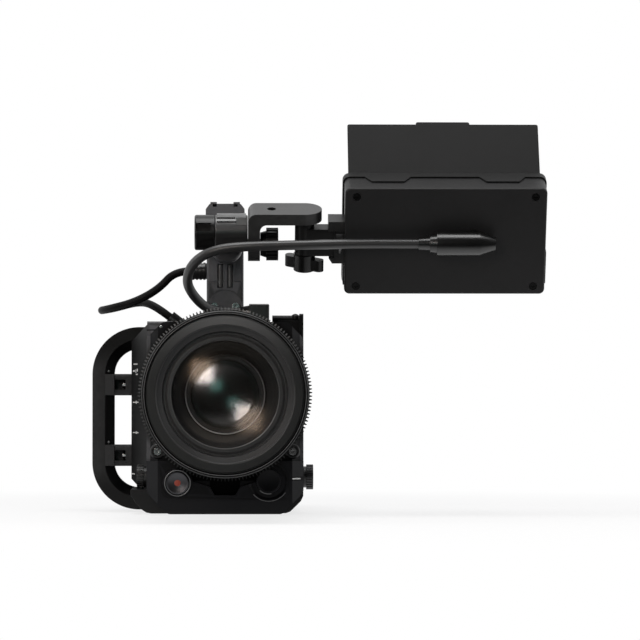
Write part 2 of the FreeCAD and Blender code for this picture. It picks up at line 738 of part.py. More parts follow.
def display_panel():
    """The operator's panel on the right with a window for the display and holes for the keys."""
    x1 = BODY_HALF_W + 0.3
    panel = rounded_block(BODY_HALF_W - PANEL_T, x1, PANEL_Y0, PANEL_Y1, PANEL_Z0, PANEL_Z1, 4.0, "x")
    y, z = display_centre()
    seat = rounded_block(x1 - DISPLAY_T, x1 + 1, y - DISPLAY_W / 2 - SEAT_GAP, y + DISPLAY_W / 2 + SEAT_GAP,
                         z - DISPLAY_H / 2 - SEAT_GAP, z + DISPLAY_H / 2 + SEAT_GAP, 2.0, "x")
    panel = panel.cut(seat)
    key_y, key_z = key_place()
    return panel.cut(rod((x1 - PANEL_T + 0.6, key_y, key_z), X, KEY_R + SEAT_GAP, PANEL_T + 1))


def display_centre():
    """Middle of the side display, as (y, z)."""
    return (PANEL_Y0 + 8.0 + DISPLAY_W / 2, (PANEL_Z0 + PANEL_Z1) / 2)


def key_place():
    """Middle of the panel key, as (y, z)."""
    return (PANEL_Y1 - 13.0, PANEL_Z0 + 20.0)


def side_display():
    """The glass of the side display."""
    y, z = display_centre()
    x1 = BODY_HALF_W + 0.3
    return rounded_block(x1 - DISPLAY_T, x1 - 0.2, y - DISPLAY_W / 2, y + DISPLAY_W / 2, z - DISPLAY_H / 2,
                         z + DISPLAY_H / 2, 2.0, "x")


def panel_key():
    """A round key that is pushed into the panel."""
    y, z = key_place()
    x1 = BODY_HALF_W + 0.3
    back = x1 - PANEL_T + 0.6 + KEY_TRAVEL + 0.1
    return rod((back, y, z), X, KEY_R, x1 + KEY_PROUD - back)


def card_door():
    """The flap over the card slot, hinged along its lower edge."""
    door = box(BODY_HALF_W - DOOR_T, BODY_HALF_W, DOOR_Y0, DOOR_Y1, DOOR_Z0 + DOOR_T / 2, DOOR_Z1)
    door = door.fuse(rod(door_axis(DOOR_Y0), Y, DOOR_T / 2, DOOR_Y1 - DOOR_Y0))
    for end, inward in ((DOOR_Y0, 1), (DOOR_Y1, -1)):
        start = door_axis(end - inward)
        door = door.cut(rod(start, Y * inward, DOOR_PIN_R + RUN_GAP, DOOR_PIN_L + SIDE_GAP + 1))
    finger = rod((BODY_HALF_W + 2.0, (DOOR_Y0 + DOOR_Y1) / 2 - 8, DOOR_Z1), Y, 3.2, 16)
    return door.cut(finger).removeSplitter()


def screws():
    """All the cap screws, which are alike."""
    places = CHIN_SCREWS + POST_SCREWS + GUARD_SCREWS + REAR_SCREWS
    return Part.makeCompound([socket_screw(place, direction) for place, direction in places])


def strap_lug():
    """The strap plate on the right shoulder with its cross bar."""
    plate = rounded_block(LUG_X - LUG_T / 2, LUG_X + LUG_T / 2, LUG_Y - LUG_W / 2, LUG_Y + LUG_W / 2, LUG_BOTTOM_Z,
                          LUG_TOP_Z, 2.0, "x")
    bar_z = BODY_H + LUG_BAR_R
    bar = rod((LUG_X - LUG_BAR_L, LUG_Y, bar_z), X, LUG_BAR_R, LUG_BAR_L)
    knob = Part.makeSphere(LUG_BAR_R + 0.6, Vector(LUG_X - 4.5, LUG_Y, bar_z + 0.7))
    return plate.fuse(bar).fuse(knob).cut(body_block(BODY_FRONT_Y, BODY_REAR_Y)).removeSplitter()


def shoulder_cover():
    """The small cover on the left shoulder."""
    cover = rounded_block(-BODY_HALF_W, -41.5, -40.0, -22.0, BODY_H - 11.0, BODY_H + 0.8, 2.0, "x")
    return cover.cut(body_block(BODY_FRONT_Y, BODY_REAR_Y)).removeSplitter()


def lens_mount():
    """The mount on the bulkhead, with four locking wings."""
    ring = turned([(MOUNT_BORE_R, BODY_FRONT_Y - MOUNT_T), (MOUNT_R, BODY_FRONT_Y - MOUNT_T), (MOUNT_R, BODY_FRONT_Y),
                   (MOUNT_BORE_R, BODY_FRONT_Y)])
    for i in range(4):
        wing = box(-7, 7, BODY_FRONT_Y - 5.0, BODY_FRONT_Y - 1.0, MOUNT_R - 2, COVER_BORE_R - 1.0)
        wing.rotate(Vector(0, 0, 0), Y, 45 + 90 * i)
        wing.translate(Vector(0, 0, LENS_AXIS_Z))
        ring = ring.fuse(wing)
    return ring.removeSplitter()


FOCUS_Y = FRONT_Y + FRONT_RING_L
MID_Y = FOCUS_Y + FOCUS_L
ZOOM_Y = MID_Y + MID_COLLAR_L
COLLAR_Y = ZOOM_Y + ZOOM_L
IRIS_Y = COLLAR_Y + REAR_COLLAR_L
REAR_Y = IRIS_Y + IRIS_L
LENS_BACK_Y = BODY_FRONT_Y - MOUNT_T


def lens_barrel():
    """The fixed tube that the rings turn on, with the rear body down to the mount."""
    return turned([
        (BARREL_BORE_R, FOCUS_Y), (BARREL_R, FOCUS_Y), (BARREL_R, REAR_Y), (COLLAR_R, REAR_Y),
        (COLLAR_R, REAR_Y + 8), (COLLAR_R - 6, REAR_Y + 18), (MOUNT_R + 2, REAR_Y + 26), (MOUNT_R, LENS_BACK_Y),
        (MOUNT_BORE_R, LENS_BACK_Y), (MOUNT_BORE_R, LENS_BACK_Y - 14), (BARREL_BORE_R, LENS_BACK_Y - 22)])


def lens_collars():
    """The two fixed collars between the rings."""
    collars = []
    for y, length in ((MID_Y, MID_COLLAR_L), (COLLAR_Y, REAR_COLLAR_L)):
        edge = 0.8
        collars.append(turned([(BARREL_R, y), (COLLAR_R - edge, y), (COLLAR_R, y + edge),
                               (COLLAR_R, y + length - edge), (COLLAR_R - edge, y + length), (BARREL_R, y + length)]))
    return Part.makeCompound(collars)


def gear_outline(teeth, pitch_r, shares):
    """A toothed outline about the lens axis. shares gives (part of a pitch, height over the pitch circle)."""
    points = []
    for i in range(teeth):
        for share, height in shares:
            angle = 2 * math.pi * (i + share) / teeth
            radius = pitch_r + height
            points.append(Vector(radius * math.sin(angle), 0, LENS_AXIS_Z + radius * math.cos(angle)))
    return Part.Face(Part.makePolygon(points + points[:1]))


def control_ring(y, length, gear_y, shares, teeth):
    """A ring that turns on the barrel, with a ribbed grip and a gear band."""
    pitch_r = teeth * GEAR_MODULE / 2
    low = RING_GRIP_R - GRIP_RIB_H
    grip_shares = ((0.0, GRIP_RIB_H), (0.55, GRIP_RIB_H), (0.65, 0.0), (0.9, 0.0))
    start = y + SIDE_GAP
    end = y + length - SIDE_GAP
    rim = 3.0
    body = turned([(BARREL_R + RUN_GAP, start), (low, start), (low, end), (BARREL_R + RUN_GAP, end)])
    grip = gear_outline(GRIP_RIBS, low, grip_shares)
    for y0, y1 in ((start + rim, gear_y - GEAR_W / 2 - 1.5), (gear_y + GEAR_W / 2 + 1.5, end - rim)):
        if y1 - y0 > 3:
            band = grip.extrude(Y * (y1 - y0))
            band.translate(Vector(0, y0, 0))
            body = body.fuse(band)
    for y0 in (start, end - rim):
        body = body.fuse(turned([(BARREL_R + 1, y0), (RING_GRIP_R, y0), (RING_GRIP_R, y0 + rim),
                                 (BARREL_R + 1, y0 + rim)]))
    band = gear_outline(teeth, pitch_r, shares).extrude(Y * GEAR_W)
    band.translate(Vector(0, gear_y - GEAR_W / 2, 0))
    bore = rod((0, start - 1, LENS_AXIS_Z), Y, BARREL_R + RUN_GAP, end - start + 2)
    return body.fuse(band).cut(bore)


FINE_TEETH = ((-0.14, GEAR_MODULE), (0.14, GEAR_MODULE), (0.34, -1.2 * GEAR_MODULE), (0.66, -1.2 * GEAR_MODULE))
PLAIN_TEETH = ((0.0, 0.8 * GEAR_MODULE), (0.5, -1.0 * GEAR_MODULE))


def focus_ring():
    return control_ring(FOCUS_Y, FOCUS_L, FOCUS_Y + 17.0, FINE_TEETH, GEAR_TEETH)


def zoom_ring():
    return control_ring(ZOOM_Y, ZOOM_L, ZOOM_Y + 12.0, PLAIN_TEETH, GEAR_TEETH)


def iris_ring():
    return control_ring(IRIS_Y, IRIS_L, IRIS_Y + 13.0, PLAIN_TEETH, GEAR_TEETH)


def lens_front_ring():
    """The front of the lens: a flat face with a groove, a filter thread and the cell of the front glass."""
    f = FRONT_Y
    edge = 0.6
    bore = FRONT_GLASS_R + SEAT_GAP
    return turned([
        (FRONT_RING_R - edge, f), (FRONT_RING_R, f + edge), (FRONT_RING_R, FOCUS_Y),
        (BARREL_BORE_R, FOCUS_Y), (BARREL_BORE_R, f + CELL_END + 3), (CELL_LIP_R, f + CELL_END + 3),
        (CELL_LIP_R, f + CELL_END), (bore, f + CELL_END), (bore, f + 9), (FUNNEL_STEP_R, f + 9),
        (FUNNEL_STEP_R, f + 11), (FUNNEL_LINE_R, f + 11), (FUNNEL_RIDGE_R, f + 7), (FILTER_R, f + 5),
        (FILTER_R, f + 0.8), (FRONT_LIP_R, f), (FRONT_GROOVE_R - FRONT_GROOVE_W, f),
        (FRONT_GROOVE_R - FRONT_GROOVE_W, f + 1.2), (FRONT_GROOVE_R, f + 1.2), (FRONT_GROOVE_R, f)]).fuse(
            glass_retainer()).removeSplitter()


def glass_retainer():
    """The thin ring that holds the front glass in its cell."""
    f = FRONT_Y
    outer = FRONT_GLASS_R + SEAT_GAP
    return turned([(RETAINER_R, f + 10.4), (RETAINER_R + 0.6, f + 10), (outer, f + 10), (outer, f + 12.8),
                   (RETAINER_R, f + 12.8)])


def front_glass():
    """The domed front glass."""
    f = FRONT_Y + FRONT_GLASS_DEPTH
    disc = rod((0, f, LENS_AXIS_Z), Y, FRONT_GLASS_R, CELL_END - FRONT_GLASS_DEPTH)
    ball = Part.makeSphere(FRONT_GLASS_SPHERE, Vector(0, f + FRONT_GLASS_SPHERE, LENS_AXIS_Z))
    hollow = Part.makeSphere(90.0, Vector(0, FRONT_Y + CELL_END + 83.0, LENS_AXIS_Z))
    return disc.common(ball).cut(hollow)


def group_cell(depth):
    """A cell that slides in the barrel, with a funnel before its glass."""
    y = FRONT_Y + depth
    outer = BARREL_BORE_R - RUN_GAP
    bore = GROUP_GLASS_R
    return turned([(outer, y), (outer, y + GROUP_L), (bore - 2, y + GROUP_L), (bore - 2, y + GROUP_L - 2),
                   (bore, y + GROUP_L - 2), (bore, y + 7), (GROUP_STEP_R, y + 7), (GROUP_STEP_R, y + 6),
                   (GROUP_CONE_R, y)])


def group_glass(depth):
    """The glass of a sliding cell."""
    y = FRONT_Y + depth
    disc = rod((0, y + 4.5, LENS_AXIS_Z), Y, GROUP_GLASS_R - SEAT_GAP / 2, GROUP_L - 6.5)
    return disc.common(Part.makeSphere(55.0, Vector(0, y + 4.5 + 55.0, LENS_AXIS_Z)))


def iris_rotor():
    """The plate whose opening sets the light, turned by the iris ring."""
    y = FRONT_Y + IRIS_DEPTH
    plate = turned([(IRIS_HOLE_R - 2, y), (BARREL_BORE_R - RUN_GAP, y), (BARREL_BORE_R - RUN_GAP, y + IRIS_T),
                    (IRIS_HOLE_R - 2, y + IRIS_T)])
    points = []
    for i in range(9):
        angle = 2 * math.pi * i / 9
        points.append((IRIS_HOLE_R * math.sin(angle), LENS_AXIS_Z + IRIS_HOLE_R * math.cos(angle)))
    return plate.cut(prism(points, 0, "y", y - 1, y + IRIS_T + 1))


INNER_FRONT_Y = BODY_FRONT_Y + BULKHEAD_T
SENSOR_Y = INNER_FRONT_Y + FILTER_BOX_L
SINK_Y = SENSOR_Y + SENSOR_T
FAN_Y = SINK_Y + SINK_BASE_T + SINK_FIN_L


def filter_box():
    """The light tunnel between the mount and the sensor, with a slot for filters."""
    tall = SENSOR_H
    tunnel = rounded_block(-SENSOR_W / 2, SENSOR_W / 2, INNER_FRONT_Y, SENSOR_Y, LENS_AXIS_Z - tall / 2,
                           LENS_AXIS_Z + tall / 2, 4.0, "y")
    inner = SENSOR_W / 2 - FILTER_BOX_WALL
    room = box(-inner, inner, INNER_FRONT_Y - 1, SENSOR_Y + 1, LENS_AXIS_Z - tall / 2 + FILTER_BOX_WALL,
               LENS_AXIS_Z + tall / 2 - FILTER_BOX_WALL)
    slot = box(-inner, inner, INNER_FRONT_Y + 10, INNER_FRONT_Y + 16, LENS_AXIS_Z, LENS_AXIS_Z + tall)
    return tunnel.cut(room).cut(slot)


def sensor():
    """The image sensor on its carrier plate."""
    plate = box(-SENSOR_W / 2, SENSOR_W / 2, SENSOR_Y, SINK_Y, LENS_AXIS_Z - SENSOR_H / 2,
                LENS_AXIS_Z + SENSOR_H / 2)
    glass = box(-SENSOR_GLASS_W / 2, SENSOR_GLASS_W / 2, SENSOR_Y - 1.5, SENSOR_Y,
                LENS_AXIS_Z - SENSOR_GLASS_H / 2, LENS_AXIS_Z + SENSOR_GLASS_H / 2)
    return plate.fuse(glass)


def heat_sink():
    """The finned block with the sensor before it and the fan's frame behind it."""
    z0 = LENS_AXIS_Z - SINK_H / 2
    base = box(-SINK_W / 2, SINK_W / 2, SINK_Y, SINK_Y + SINK_BASE_T, z0, z0 + SINK_H)
    step = (SINK_W - SINK_FIN_T) / (SINK_FINS - 1)
    for i in range(SINK_FINS):
        x = -SINK_W / 2 + i * step
        base = base.fuse(box(x, x + SINK_FIN_T, SINK_Y, FAN_Y, z0, z0 + SINK_H))
    return base.fuse(sensor()).fuse(fan_frame()).removeSplitter()


def fan_frame():
    """The fan's square frame with its bearing pin on three arms."""
    half = FAN_FRAME_W / 2
    frame = rounded_block(-half, half, FAN_Y, FAN_Y + FAN_FRAME_L, LENS_AXIS_Z - half, LENS_AXIS_Z + half, 4.0, "y")
    frame = frame.cut(rod((0, FAN_Y - 1, LENS_AXIS_Z), Y, FAN_R + 1.0, FAN_FRAME_L + 2))
    back = FAN_Y + FAN_FRAME_L
    frame = frame.fuse(rod((0, back - 2.5, LENS_AXIS_Z), Y, FAN_HUB_R, 2.5))
    for i in range(3):
        arm = box(-2, 2, back - 2.5, back, FAN_HUB_R - 2, FAN_R + 2)
        arm.rotate(Vector(0, 0, 0), Y, 120 * i)
        arm.translate(Vector(0, 0, LENS_AXIS_Z))
        frame = frame.fuse(arm)
    return frame.fuse(rod((0, FAN_Y + 2, LENS_AXIS_Z), Y, FAN_PIN_R, FAN_FRAME_L - 3)).removeSplitter()


def fan_rotor():
    """The fan's hub and blades."""
    y = FAN_Y + 1.2
    rotor = rod((0, y, LENS_AXIS_Z), Y, FAN_HUB_R, FAN_L)
    for i in range(FAN_BLADES):
        blade = box(-0.7, 0.7, y + 0.5, y + FAN_L - 0.5, FAN_HUB_R - 1, FAN_R)
        blade.rotate(Vector(0, y + FAN_L / 2, 0), Z, 32)
        blade = blade.common(rod((0, y, 0), Y, FAN_R, FAN_L))
        blade.rotate(Vector(0, 0, 0), Y, 360.0 * i / FAN_BLADES)
        blade.translate(Vector(0, 0, LENS_AXIS_Z))
        rotor = rotor.fuse(blade)
    return rotor.cut(rod((0, y + 0.8 - SIDE_GAP, LENS_AXIS_Z), Y, FAN_PIN_R + RUN_GAP, FAN_L + 2)).removeSplitter()


def main_board():
    """The main circuit board on stand-offs at the left wall, with its larger chips."""
    wall = -BODY_HALF_W + WALL
    x = wall + STANDOFF_L
    board = box(x, x + BOARD_T, BOARD_Y0, BOARD_Y1, BOARD_Z0, BOARD_Z1)
    for y in (BOARD_Y0 + 6, BOARD_Y1 - 6):
        for z in (BOARD_Z0 + 6, BOARD_Z1 - 6):
            board = board.fuse(rod((wall, y, z), X, STANDOFF_R, STANDOFF_L))
    board = board.fuse(box(x - 2.5, x, 20, 48, 54, 82))
    return board.fuse(box(x - 1.5, x, -22, -4, 90, 106))


PLATE_Y = BODY_REAR_Y + REAR_T
BATTERY_Y = PLATE_Y + PLATE_T


def wedge_outline(gap):
    """The wedge of the battery mount, wide above and narrow below."""
    top_z = PLATE_Z0 + PLATE_H - 28.0
    low_z = top_z - WEDGE_H
    return [(-WEDGE_BOTTOM_W / 2 - gap, low_z - gap), (WEDGE_BOTTOM_W / 2 + gap, low_z - gap),
            (WEDGE_TOP_W / 2 + gap, top_z), (-WEDGE_TOP_W / 2 - gap, top_z)]


def battery_plate():
    """The plate on the back with the slot that the battery's wedge drops into."""
    plate = rounded_block(-PLATE_W / 2, PLATE_W / 2, PLATE_Y, BATTERY_Y, PLATE_Z0, PLATE_Z0 + PLATE_H, 5.0, "y")
    slot = prism(wedge_outline(0.4), 0, "y", BATTERY_Y - WEDGE_T - 0.4, BATTERY_Y + 1)
    high = box(-WEDGE_TOP_W / 2 - 0.4, WEDGE_TOP_W / 2 + 0.4, BATTERY_Y - WEDGE_T - 0.4, BATTERY_Y + 1,
               PLATE_Z0 + PLATE_H - 28.0, PLATE_Z0 + PLATE_H + 1)
    plate = plate.cut(slot).cut(high)
    for place, direction in REAR_SCREWS:
        start = Vector(*place)
        plate = plate.cut(Part.makeCylinder(SCREW_HEAD_R + 0.3, PLATE_T + 1, start, Y))
    latch = rod((PLATE_W / 2 - 8, PLATE_Y + PLATE_T / 2 - 0.6, PLATE_Z0 + 70), X, 2.6 + SEAT_GAP, 10)
    return plate.cut(latch).removeSplitter()


def battery_latch():
    """The sprung catch at the side of the battery plate."""
    x = PLATE_W / 2 - 8 + 2.2
    return rod((x, PLATE_Y + PLATE_T / 2 - 0.6, PLATE_Z0 + 70), X, 2.6, PLATE_W / 2 + 2.5 - x)


def battery():
    """The battery with its wedge and a row of charge windows."""
    start = BATTERY_Y + 0.05
    block = rounded_block(-BATTERY_W / 2, BATTERY_W / 2, start, BATTERY_Y + BATTERY_T, BATTERY_Z0,
                          BATTERY_Z0 + BATTERY_H, 8.0, "y")
    block = soften(block, 3.0, lambda e: abs(e.BoundBox.YMin - BATTERY_Y - BATTERY_T) < 1e-4)
    tongue = prism(wedge_outline(0.0), 0, "y", BATTERY_Y - WEDGE_T, start + 1)
    grip = box(-30, 30, BATTERY_Y + BATTERY_T - 1.2, BATTERY_Y + BATTERY_T + 1, 40, 58)
    return block.fuse(tongue).cut(grip).removeSplitter()


HEAD_Y = GRIP_FRONT_Y


def handle_post():
    """The front post of the top handle, with an arched foot and two grooves."""
    post = rounded_block(-POST_HALF_W, POST_HALF_W, POST_Y0, POST_Y1, BODY_H, GRIP_BOTTOM_Z, 2.5, "z")
    foot = box(-FOOT_R, FOOT_R, POST_Y0 - FOOT_T, POST_Y0 + 3, BODY_H, FOOT_Z)
    foot = foot.fuse(rod((0, POST_Y0 - FOOT_T, FOOT_Z), Y, FOOT_R, FOOT_T + 3))
    foot = foot.cut(box(-20, 20, POST_Y0 - 10, POST_Y0 + 10, BODY_H - 20, BODY_H))
    post = post.fuse(foot)
    for side in (-1, 1):
        x0 = min(side * 1.5, side * 5.8)
        groove = box(x0, x0 + 4.3, POST_Y0 - 1, POST_Y0 + 2.0, FOOT_Z + FOOT_R + 2, BODY_H + GROOVE_TOP_H)
        post = post.cut(groove)
    seam = box(-20, 20, POST_Y0 - 1, POST_Y0 + 0.7, BODY_H + SEAM_H, BODY_H + SEAM_H + 0.8)
    post = post.cut(seam)
    for place, direction in POST_SCREWS:
        post = post.cut(screw_bore(place, direction))
    return post.removeSplitter()


def rear_post():
    """The rear post of the top handle."""
    return rounded_block(-POST_HALF_W, POST_HALF_W, GRIP_REAR_Y - REAR_POST_L, GRIP_REAR_Y, BODY_H, GRIP_BOTTOM_Z,
                         5.0, "z")


def handle_grip():
    """The bar of the top handle with a round nose under its front end and finger hollows below."""
    cut = 4.0
    w = GRIP_HALF_W
    points = [(-w, GRIP_BOTTOM_Z), (w, GRIP_BOTTOM_Z), (w, GRIP_TOP_Z - cut), (w - cut + 1, GRIP_TOP_Z),
              (-w + cut - 1, GRIP_TOP_Z), (-w, GRIP_TOP_Z - cut)]
    grip = prism(points, [4, 4, 2, 2, 2, 2], "y", GRIP_FRONT_Y, GRIP_REAR_Y)
    nose = rod((1.0, GRIP_FRONT_Y, NOSE_Z), Y, NOSE_R, POST_Y0 - GRIP_FRONT_Y - 0.5)
    nose = soften(nose, 2.5, lambda e: abs(e.BoundBox.YMax - GRIP_FRONT_Y) < 1e-4)
    grip = grip.fuse(nose)
    for i in range(3):
        y = 6.0 + 20.0 * i
        grip = grip.cut(rod((-30, y, GRIP_BOTTOM_Z - 12.0), X, 15.0, 60))
    key = rod((GRIP_HALF_W - 5.0, HANDLE_KEY_Y, handle_key_z()), X, HANDLE_KEY_R + SEAT_GAP, 10)
    grip = grip.cut(key).cut(shoe_channel())
    return grip.fuse(rear_post()).fuse(accessory_shoe()).removeSplitter()


def handle_key_z():
    """Height of the button at the side of the handle."""
    return (GRIP_BOTTOM_Z + GRIP_TOP_Z) / 2


def handle_key():
    """The record button at the right of the handle."""
    start = GRIP_HALF_W - 5.0 + 1.6
    return rod((start, HANDLE_KEY_Y, handle_key_z()), X, HANDLE_KEY_R, GRIP_HALF_W + 1.2 - start)


def shoe_channel():
    """The room for the foot of an accessory, sunk into the top of the handle."""
    half = SHOE_GAP / 2
    y0 = GRIP_FRONT_Y - 1.0
    channel = box(-half, half, y0, y0 + SHOE_L + 2.0, GRIP_TOP_Z - SHOE_FOOT_T, GRIP_TOP_Z)
    return channel.fuse(box(-half + SHOE_LIP, half - SHOE_LIP, y0, y0 + SHOE_L + 2.0, GRIP_TOP_Z - 1, GRIP_TOP_Z + 4))


def accessory_shoe():
    """The two lips of the accessory shoe, which stand a little above the handle."""
    half = SHOE_GAP / 2
    y0 = GRIP_FRONT_Y + 1.0
    lips = []
    for side in (-1, 1):
        inner = side * (half - SHOE_LIP)
        outer = side * (half + SHOE_RAIL_W)
        lips.append(box(min(inner, outer), max(inner, outer), y0, y0 + SHOE_L, GRIP_TOP_Z - 0.2, GRIP_TOP_Z + SHOE_T))
    return lips[0].fuse(lips[1])


def clamp_block():
    """The clamp at the front of the handle that holds the tilt shaft."""
    barrel = rod((CLAMP_X0, CLAMP_Y, LOCK_Z), X, LOCK_R, CLAMP_X1 - CLAMP_X0)
    barrel = soften(barrel, 1.0, lambda e: e.Length > 20)
    neck = box(CLAMP_X0 + 1.5, CLAMP_X1 - 1.5, CLAMP_Y, HEAD_Y, LOCK_Z - 6.0, LOCK_Z + 12.0)
    pad = box(8.1, 16.2, CLAMP_Y - LOCK_R + 0.8, CLAMP_Y, LOCK_Z + 5.0, LOCK_Z + 10.6)
    strap = rod((CLAMP_X0 + 1.4, CLAMP_Y, LOCK_Z), X, LOCK_R + 1.2, CLAMP_X1 - CLAMP_X0 - 2.6)
    strap = strap.common(box(-40, 40, CLAMP_Y - 20, HEAD_Y, LOCK_Z + 7.9, LOCK_Z + 20))
    strap = strap.cut(box(-40, 7.6, CLAMP_Y - 20, CLAMP_Y - 2, LOCK_Z + 9.5, LOCK_Z + 10.9))
    block = barrel.fuse(neck).fuse(pad).fuse(strap)
    block = block.cut(rod((CLAMP_X0 - 1, CLAMP_Y, LOCK_Z), X, LOCK_STUB_R + RUN_GAP, 5.5))
    return block.fuse(tilt_shaft())


def lock_knob():
    """The knob at the left end of the clamp, with a grip notch."""
    start = CLAMP_X0 - SIDE_GAP - LOCK_L
    knob = rod((start, CLAMP_Y, LOCK_Z), X, LOCK_R, LOCK_L)
    knob = soften(knob, 1.6, lambda e: abs(e.BoundBox.XMax - start) < 1e-4)
    for i in range(3):
        notch = box(start + 1.1, start + 12.2, -LOCK_R - 1, -LOCK_R + 3.0, -3.2, 3.2)
        notch.rotate(Vector(0, 0, 0), X, -16 + 120 * i)
        notch.translate(Vector(0, CLAMP_Y, LOCK_Z))
        knob = knob.cut(notch)
    return knob.fuse(rod((CLAMP_X0 - SIDE_GAP - 1, CLAMP_Y, LOCK_Z), X, LOCK_STUB_R, 5.0)).removeSplitter()


def tilt_shaft():
    """The shaft that the arm turns on, fixed in the clamp."""
    return rod((-2.0, CLAMP_Y, TILT_Z), X, TILT_SHAFT_R, ARM_X0 + ARM_LEG_W + TILT_KNOB_L - 4.0 + 2.0)


ARM_X0 = CLAMP_X1 + SIDE_GAP
ARM_X1 = SWIVEL_X + ARM_HALF_D
ARM_UNDER = ARM_TOP - ARM_BAR_T


def monitor_arm():
    """The arm from the tilt shaft up and over to the swivel."""
    leg = box(ARM_X0, ARM_X0 + ARM_LEG_W, -ARM_HALF_D, ARM_HALF_D, 0, ARM_TOP)
    leg = leg.fuse(rod((ARM_X0, 0, 0), X, ARM_HALF_D, ARM_LEG_W))
    bar = box(ARM_X0, SWIVEL_X, -ARM_HALF_D, ARM_HALF_D, ARM_UNDER, ARM_TOP)
    bar = bar.fuse(rod((SWIVEL_X, 0, ARM_UNDER), Z, ARM_HALF_D, ARM_BAR_T))
    arm = leg.fuse(bar).removeSplitter()
    arm = soften(arm, ARM_INNER_R, lambda e: level_line(e, "z", ARM_UNDER) and level_line(e, "x", ARM_X0 + ARM_LEG_W))
    arm = arm.cut(rod((ARM_X0 - 1, 0, 0), X, TILT_SHAFT_R + RUN_GAP, ARM_LEG_W + 2))
    corner = prism([(ARM_X0 - 1, ARM_TOP + 1), (ARM_X0 - 1, ARM_TOP - ARM_ELBOW_R), (ARM_X0, ARM_TOP - ARM_ELBOW_R),
                    (ARM_X0, ARM_TOP), (ARM_X0 + ARM_ELBOW_R, ARM_TOP), (ARM_X0 + ARM_ELBOW_R, ARM_TOP + 1)],
                   [0, 0, 0, ARM_ELBOW_R - 0.1, 0, 0], "y", -20, 20)
    arm = arm.cut(corner)
    arm = arm.cut(rod((ARM_THREAD_X, 0, ARM_UNDER - 1), Z, TRIPOD_SMALL_R, ARM_BAR_T + 2))
    return tilted(arm.fuse(swivel_bolt()).removeSplitter())


def tilt_knob():
    """The ribbed knob that locks the tilt."""
    start = ARM_X0 + ARM_LEG_W + SIDE_GAP
    hub_l = 4.4
    hub = Part.makeCone(8.6, 10.2, hub_l + 0.5, Vector(0, 0, 0), X)
    disc = ribbed_disc(TILT_KNOB_R, TILT_KNOB_RIBS, 1.1, TILT_KNOB_L - hub_l)
    disc.translate(Vector(hub_l, 0, 0))
    knob = hub.fuse(disc).cut(rod((-1, 0, 0), X, TILT_SHAFT_R + RUN_GAP, TILT_KNOB_L - 3.0 + 1))
    knob.translate(Vector(start, CLAMP_Y, TILT_Z))
    return knob.removeSplitter()


def swivel_bolt():
    """The bolt under the arm that the monitor swivels on."""
    bolt = rod((SWIVEL_X, 0, SWIVEL_BOTTOM - WING_T + 3.0), Z, SWIVEL_BOLT_R,
               ARM_TOP - 1.0 - (SWIVEL_BOTTOM - WING_T + 3.0))
    return bolt


def swivel_bracket():
    """The barrel on the swivel bolt with the plate that carries the monitor."""
    top = ARM_UNDER - SIDE_GAP
    barrel = rod((SWIVEL_X, 0, SWIVEL_BOTTOM), Z, SWIVEL_R, top - SWIVEL_BOTTOM)
    plate = box(SWIVEL_X, 80.4, -7.0, 5.0, SWIVEL_BOTTOM, 14.0)
    bracket = barrel.fuse(plate)
    bracket = bracket.cut(rod((SWIVEL_X, 0, SWIVEL_BOTTOM - 1), Z, SWIVEL_BOLT_R + RUN_GAP, top - SWIVEL_BOTTOM + 2))
    return tilted(bracket.fuse(monitor_foot()).removeSplitter())


def monitor_foot():
    """The slotted foot between the swivel and the side of the monitor."""
    rail = box(76.0, MON_X0, -11.0, 6.0, 14.0, 21.5)
    web = rounded_block(80.4, MON_X0, -9.0, 5.0, -6.5, 14.0, 0, "y")
    low = prism([(76.5, -8.0), (79.0, -12.0), (MON_X0, -12.0), (MON_X0, -6.5), (80.4, -6.5), (80.4, -8.0)], 0, "y",
                -9.0, 5.0)
    foot = rail.fuse(web).fuse(low)
    gap = box(81.8, MON_X0 + 1, -20, 20, 8.6, 11.2)
    slot = rounded_block(82.6, 86.2, -20, 20, -4.0, 6.0, 1.7, "y")
    return foot.cut(gap).cut(slot)


def wing_knob():
    """The winged knob below the swivel."""
    top = SWIVEL_BOTTOM - SIDE_GAP
    core = rod((0, 0, top - WING_T), Z, WING_CORE_R, WING_T)
    wings = rounded_block(-WING_SPAN, WING_SPAN, -WING_W / 2, WING_W / 2, top - WING_T + 1.0, top - 3.0, 3.4, "z")
    knob = core.fuse(wings).cut(rod((0, 0, top - WING_T + 2.4), Z, SWIVEL_BOLT_R + RUN_GAP, WING_T))
    knob.rotate(Vector(0, 0, 0), Z, -WING_TURN_DEG)
    knob.translate(Vector(SWIVEL_X, 0, 0))
    return tilted(knob.removeSplitter())


MON_X1 = MON_X0 + MON_W
MON_TOP = MON_BOTTOM + MON_H


def monitor_section(y0, y1, inset=0.0):
    """The monitor's outline with round corners, run from y0 to y1."""
    return rounded_block(MON_X0 + inset, MON_X1 - inset, y0, y1, MON_BOTTOM + inset, MON_TOP - inset,
                         max(MON_R - inset, 0.5), "y")


def monitor_screw_places():
    """The corner screws of the monitor's back, as (x, z)."""
    return [(x, z) for x in (MON_X0 + MON_SCREW_INSET_X, MON_X1 - MON_SCREW_INSET_X)
            for z in (MON_BOTTOM + MON_SCREW_INSET_Z, MON_TOP - MON_SCREW_INSET_Z)]


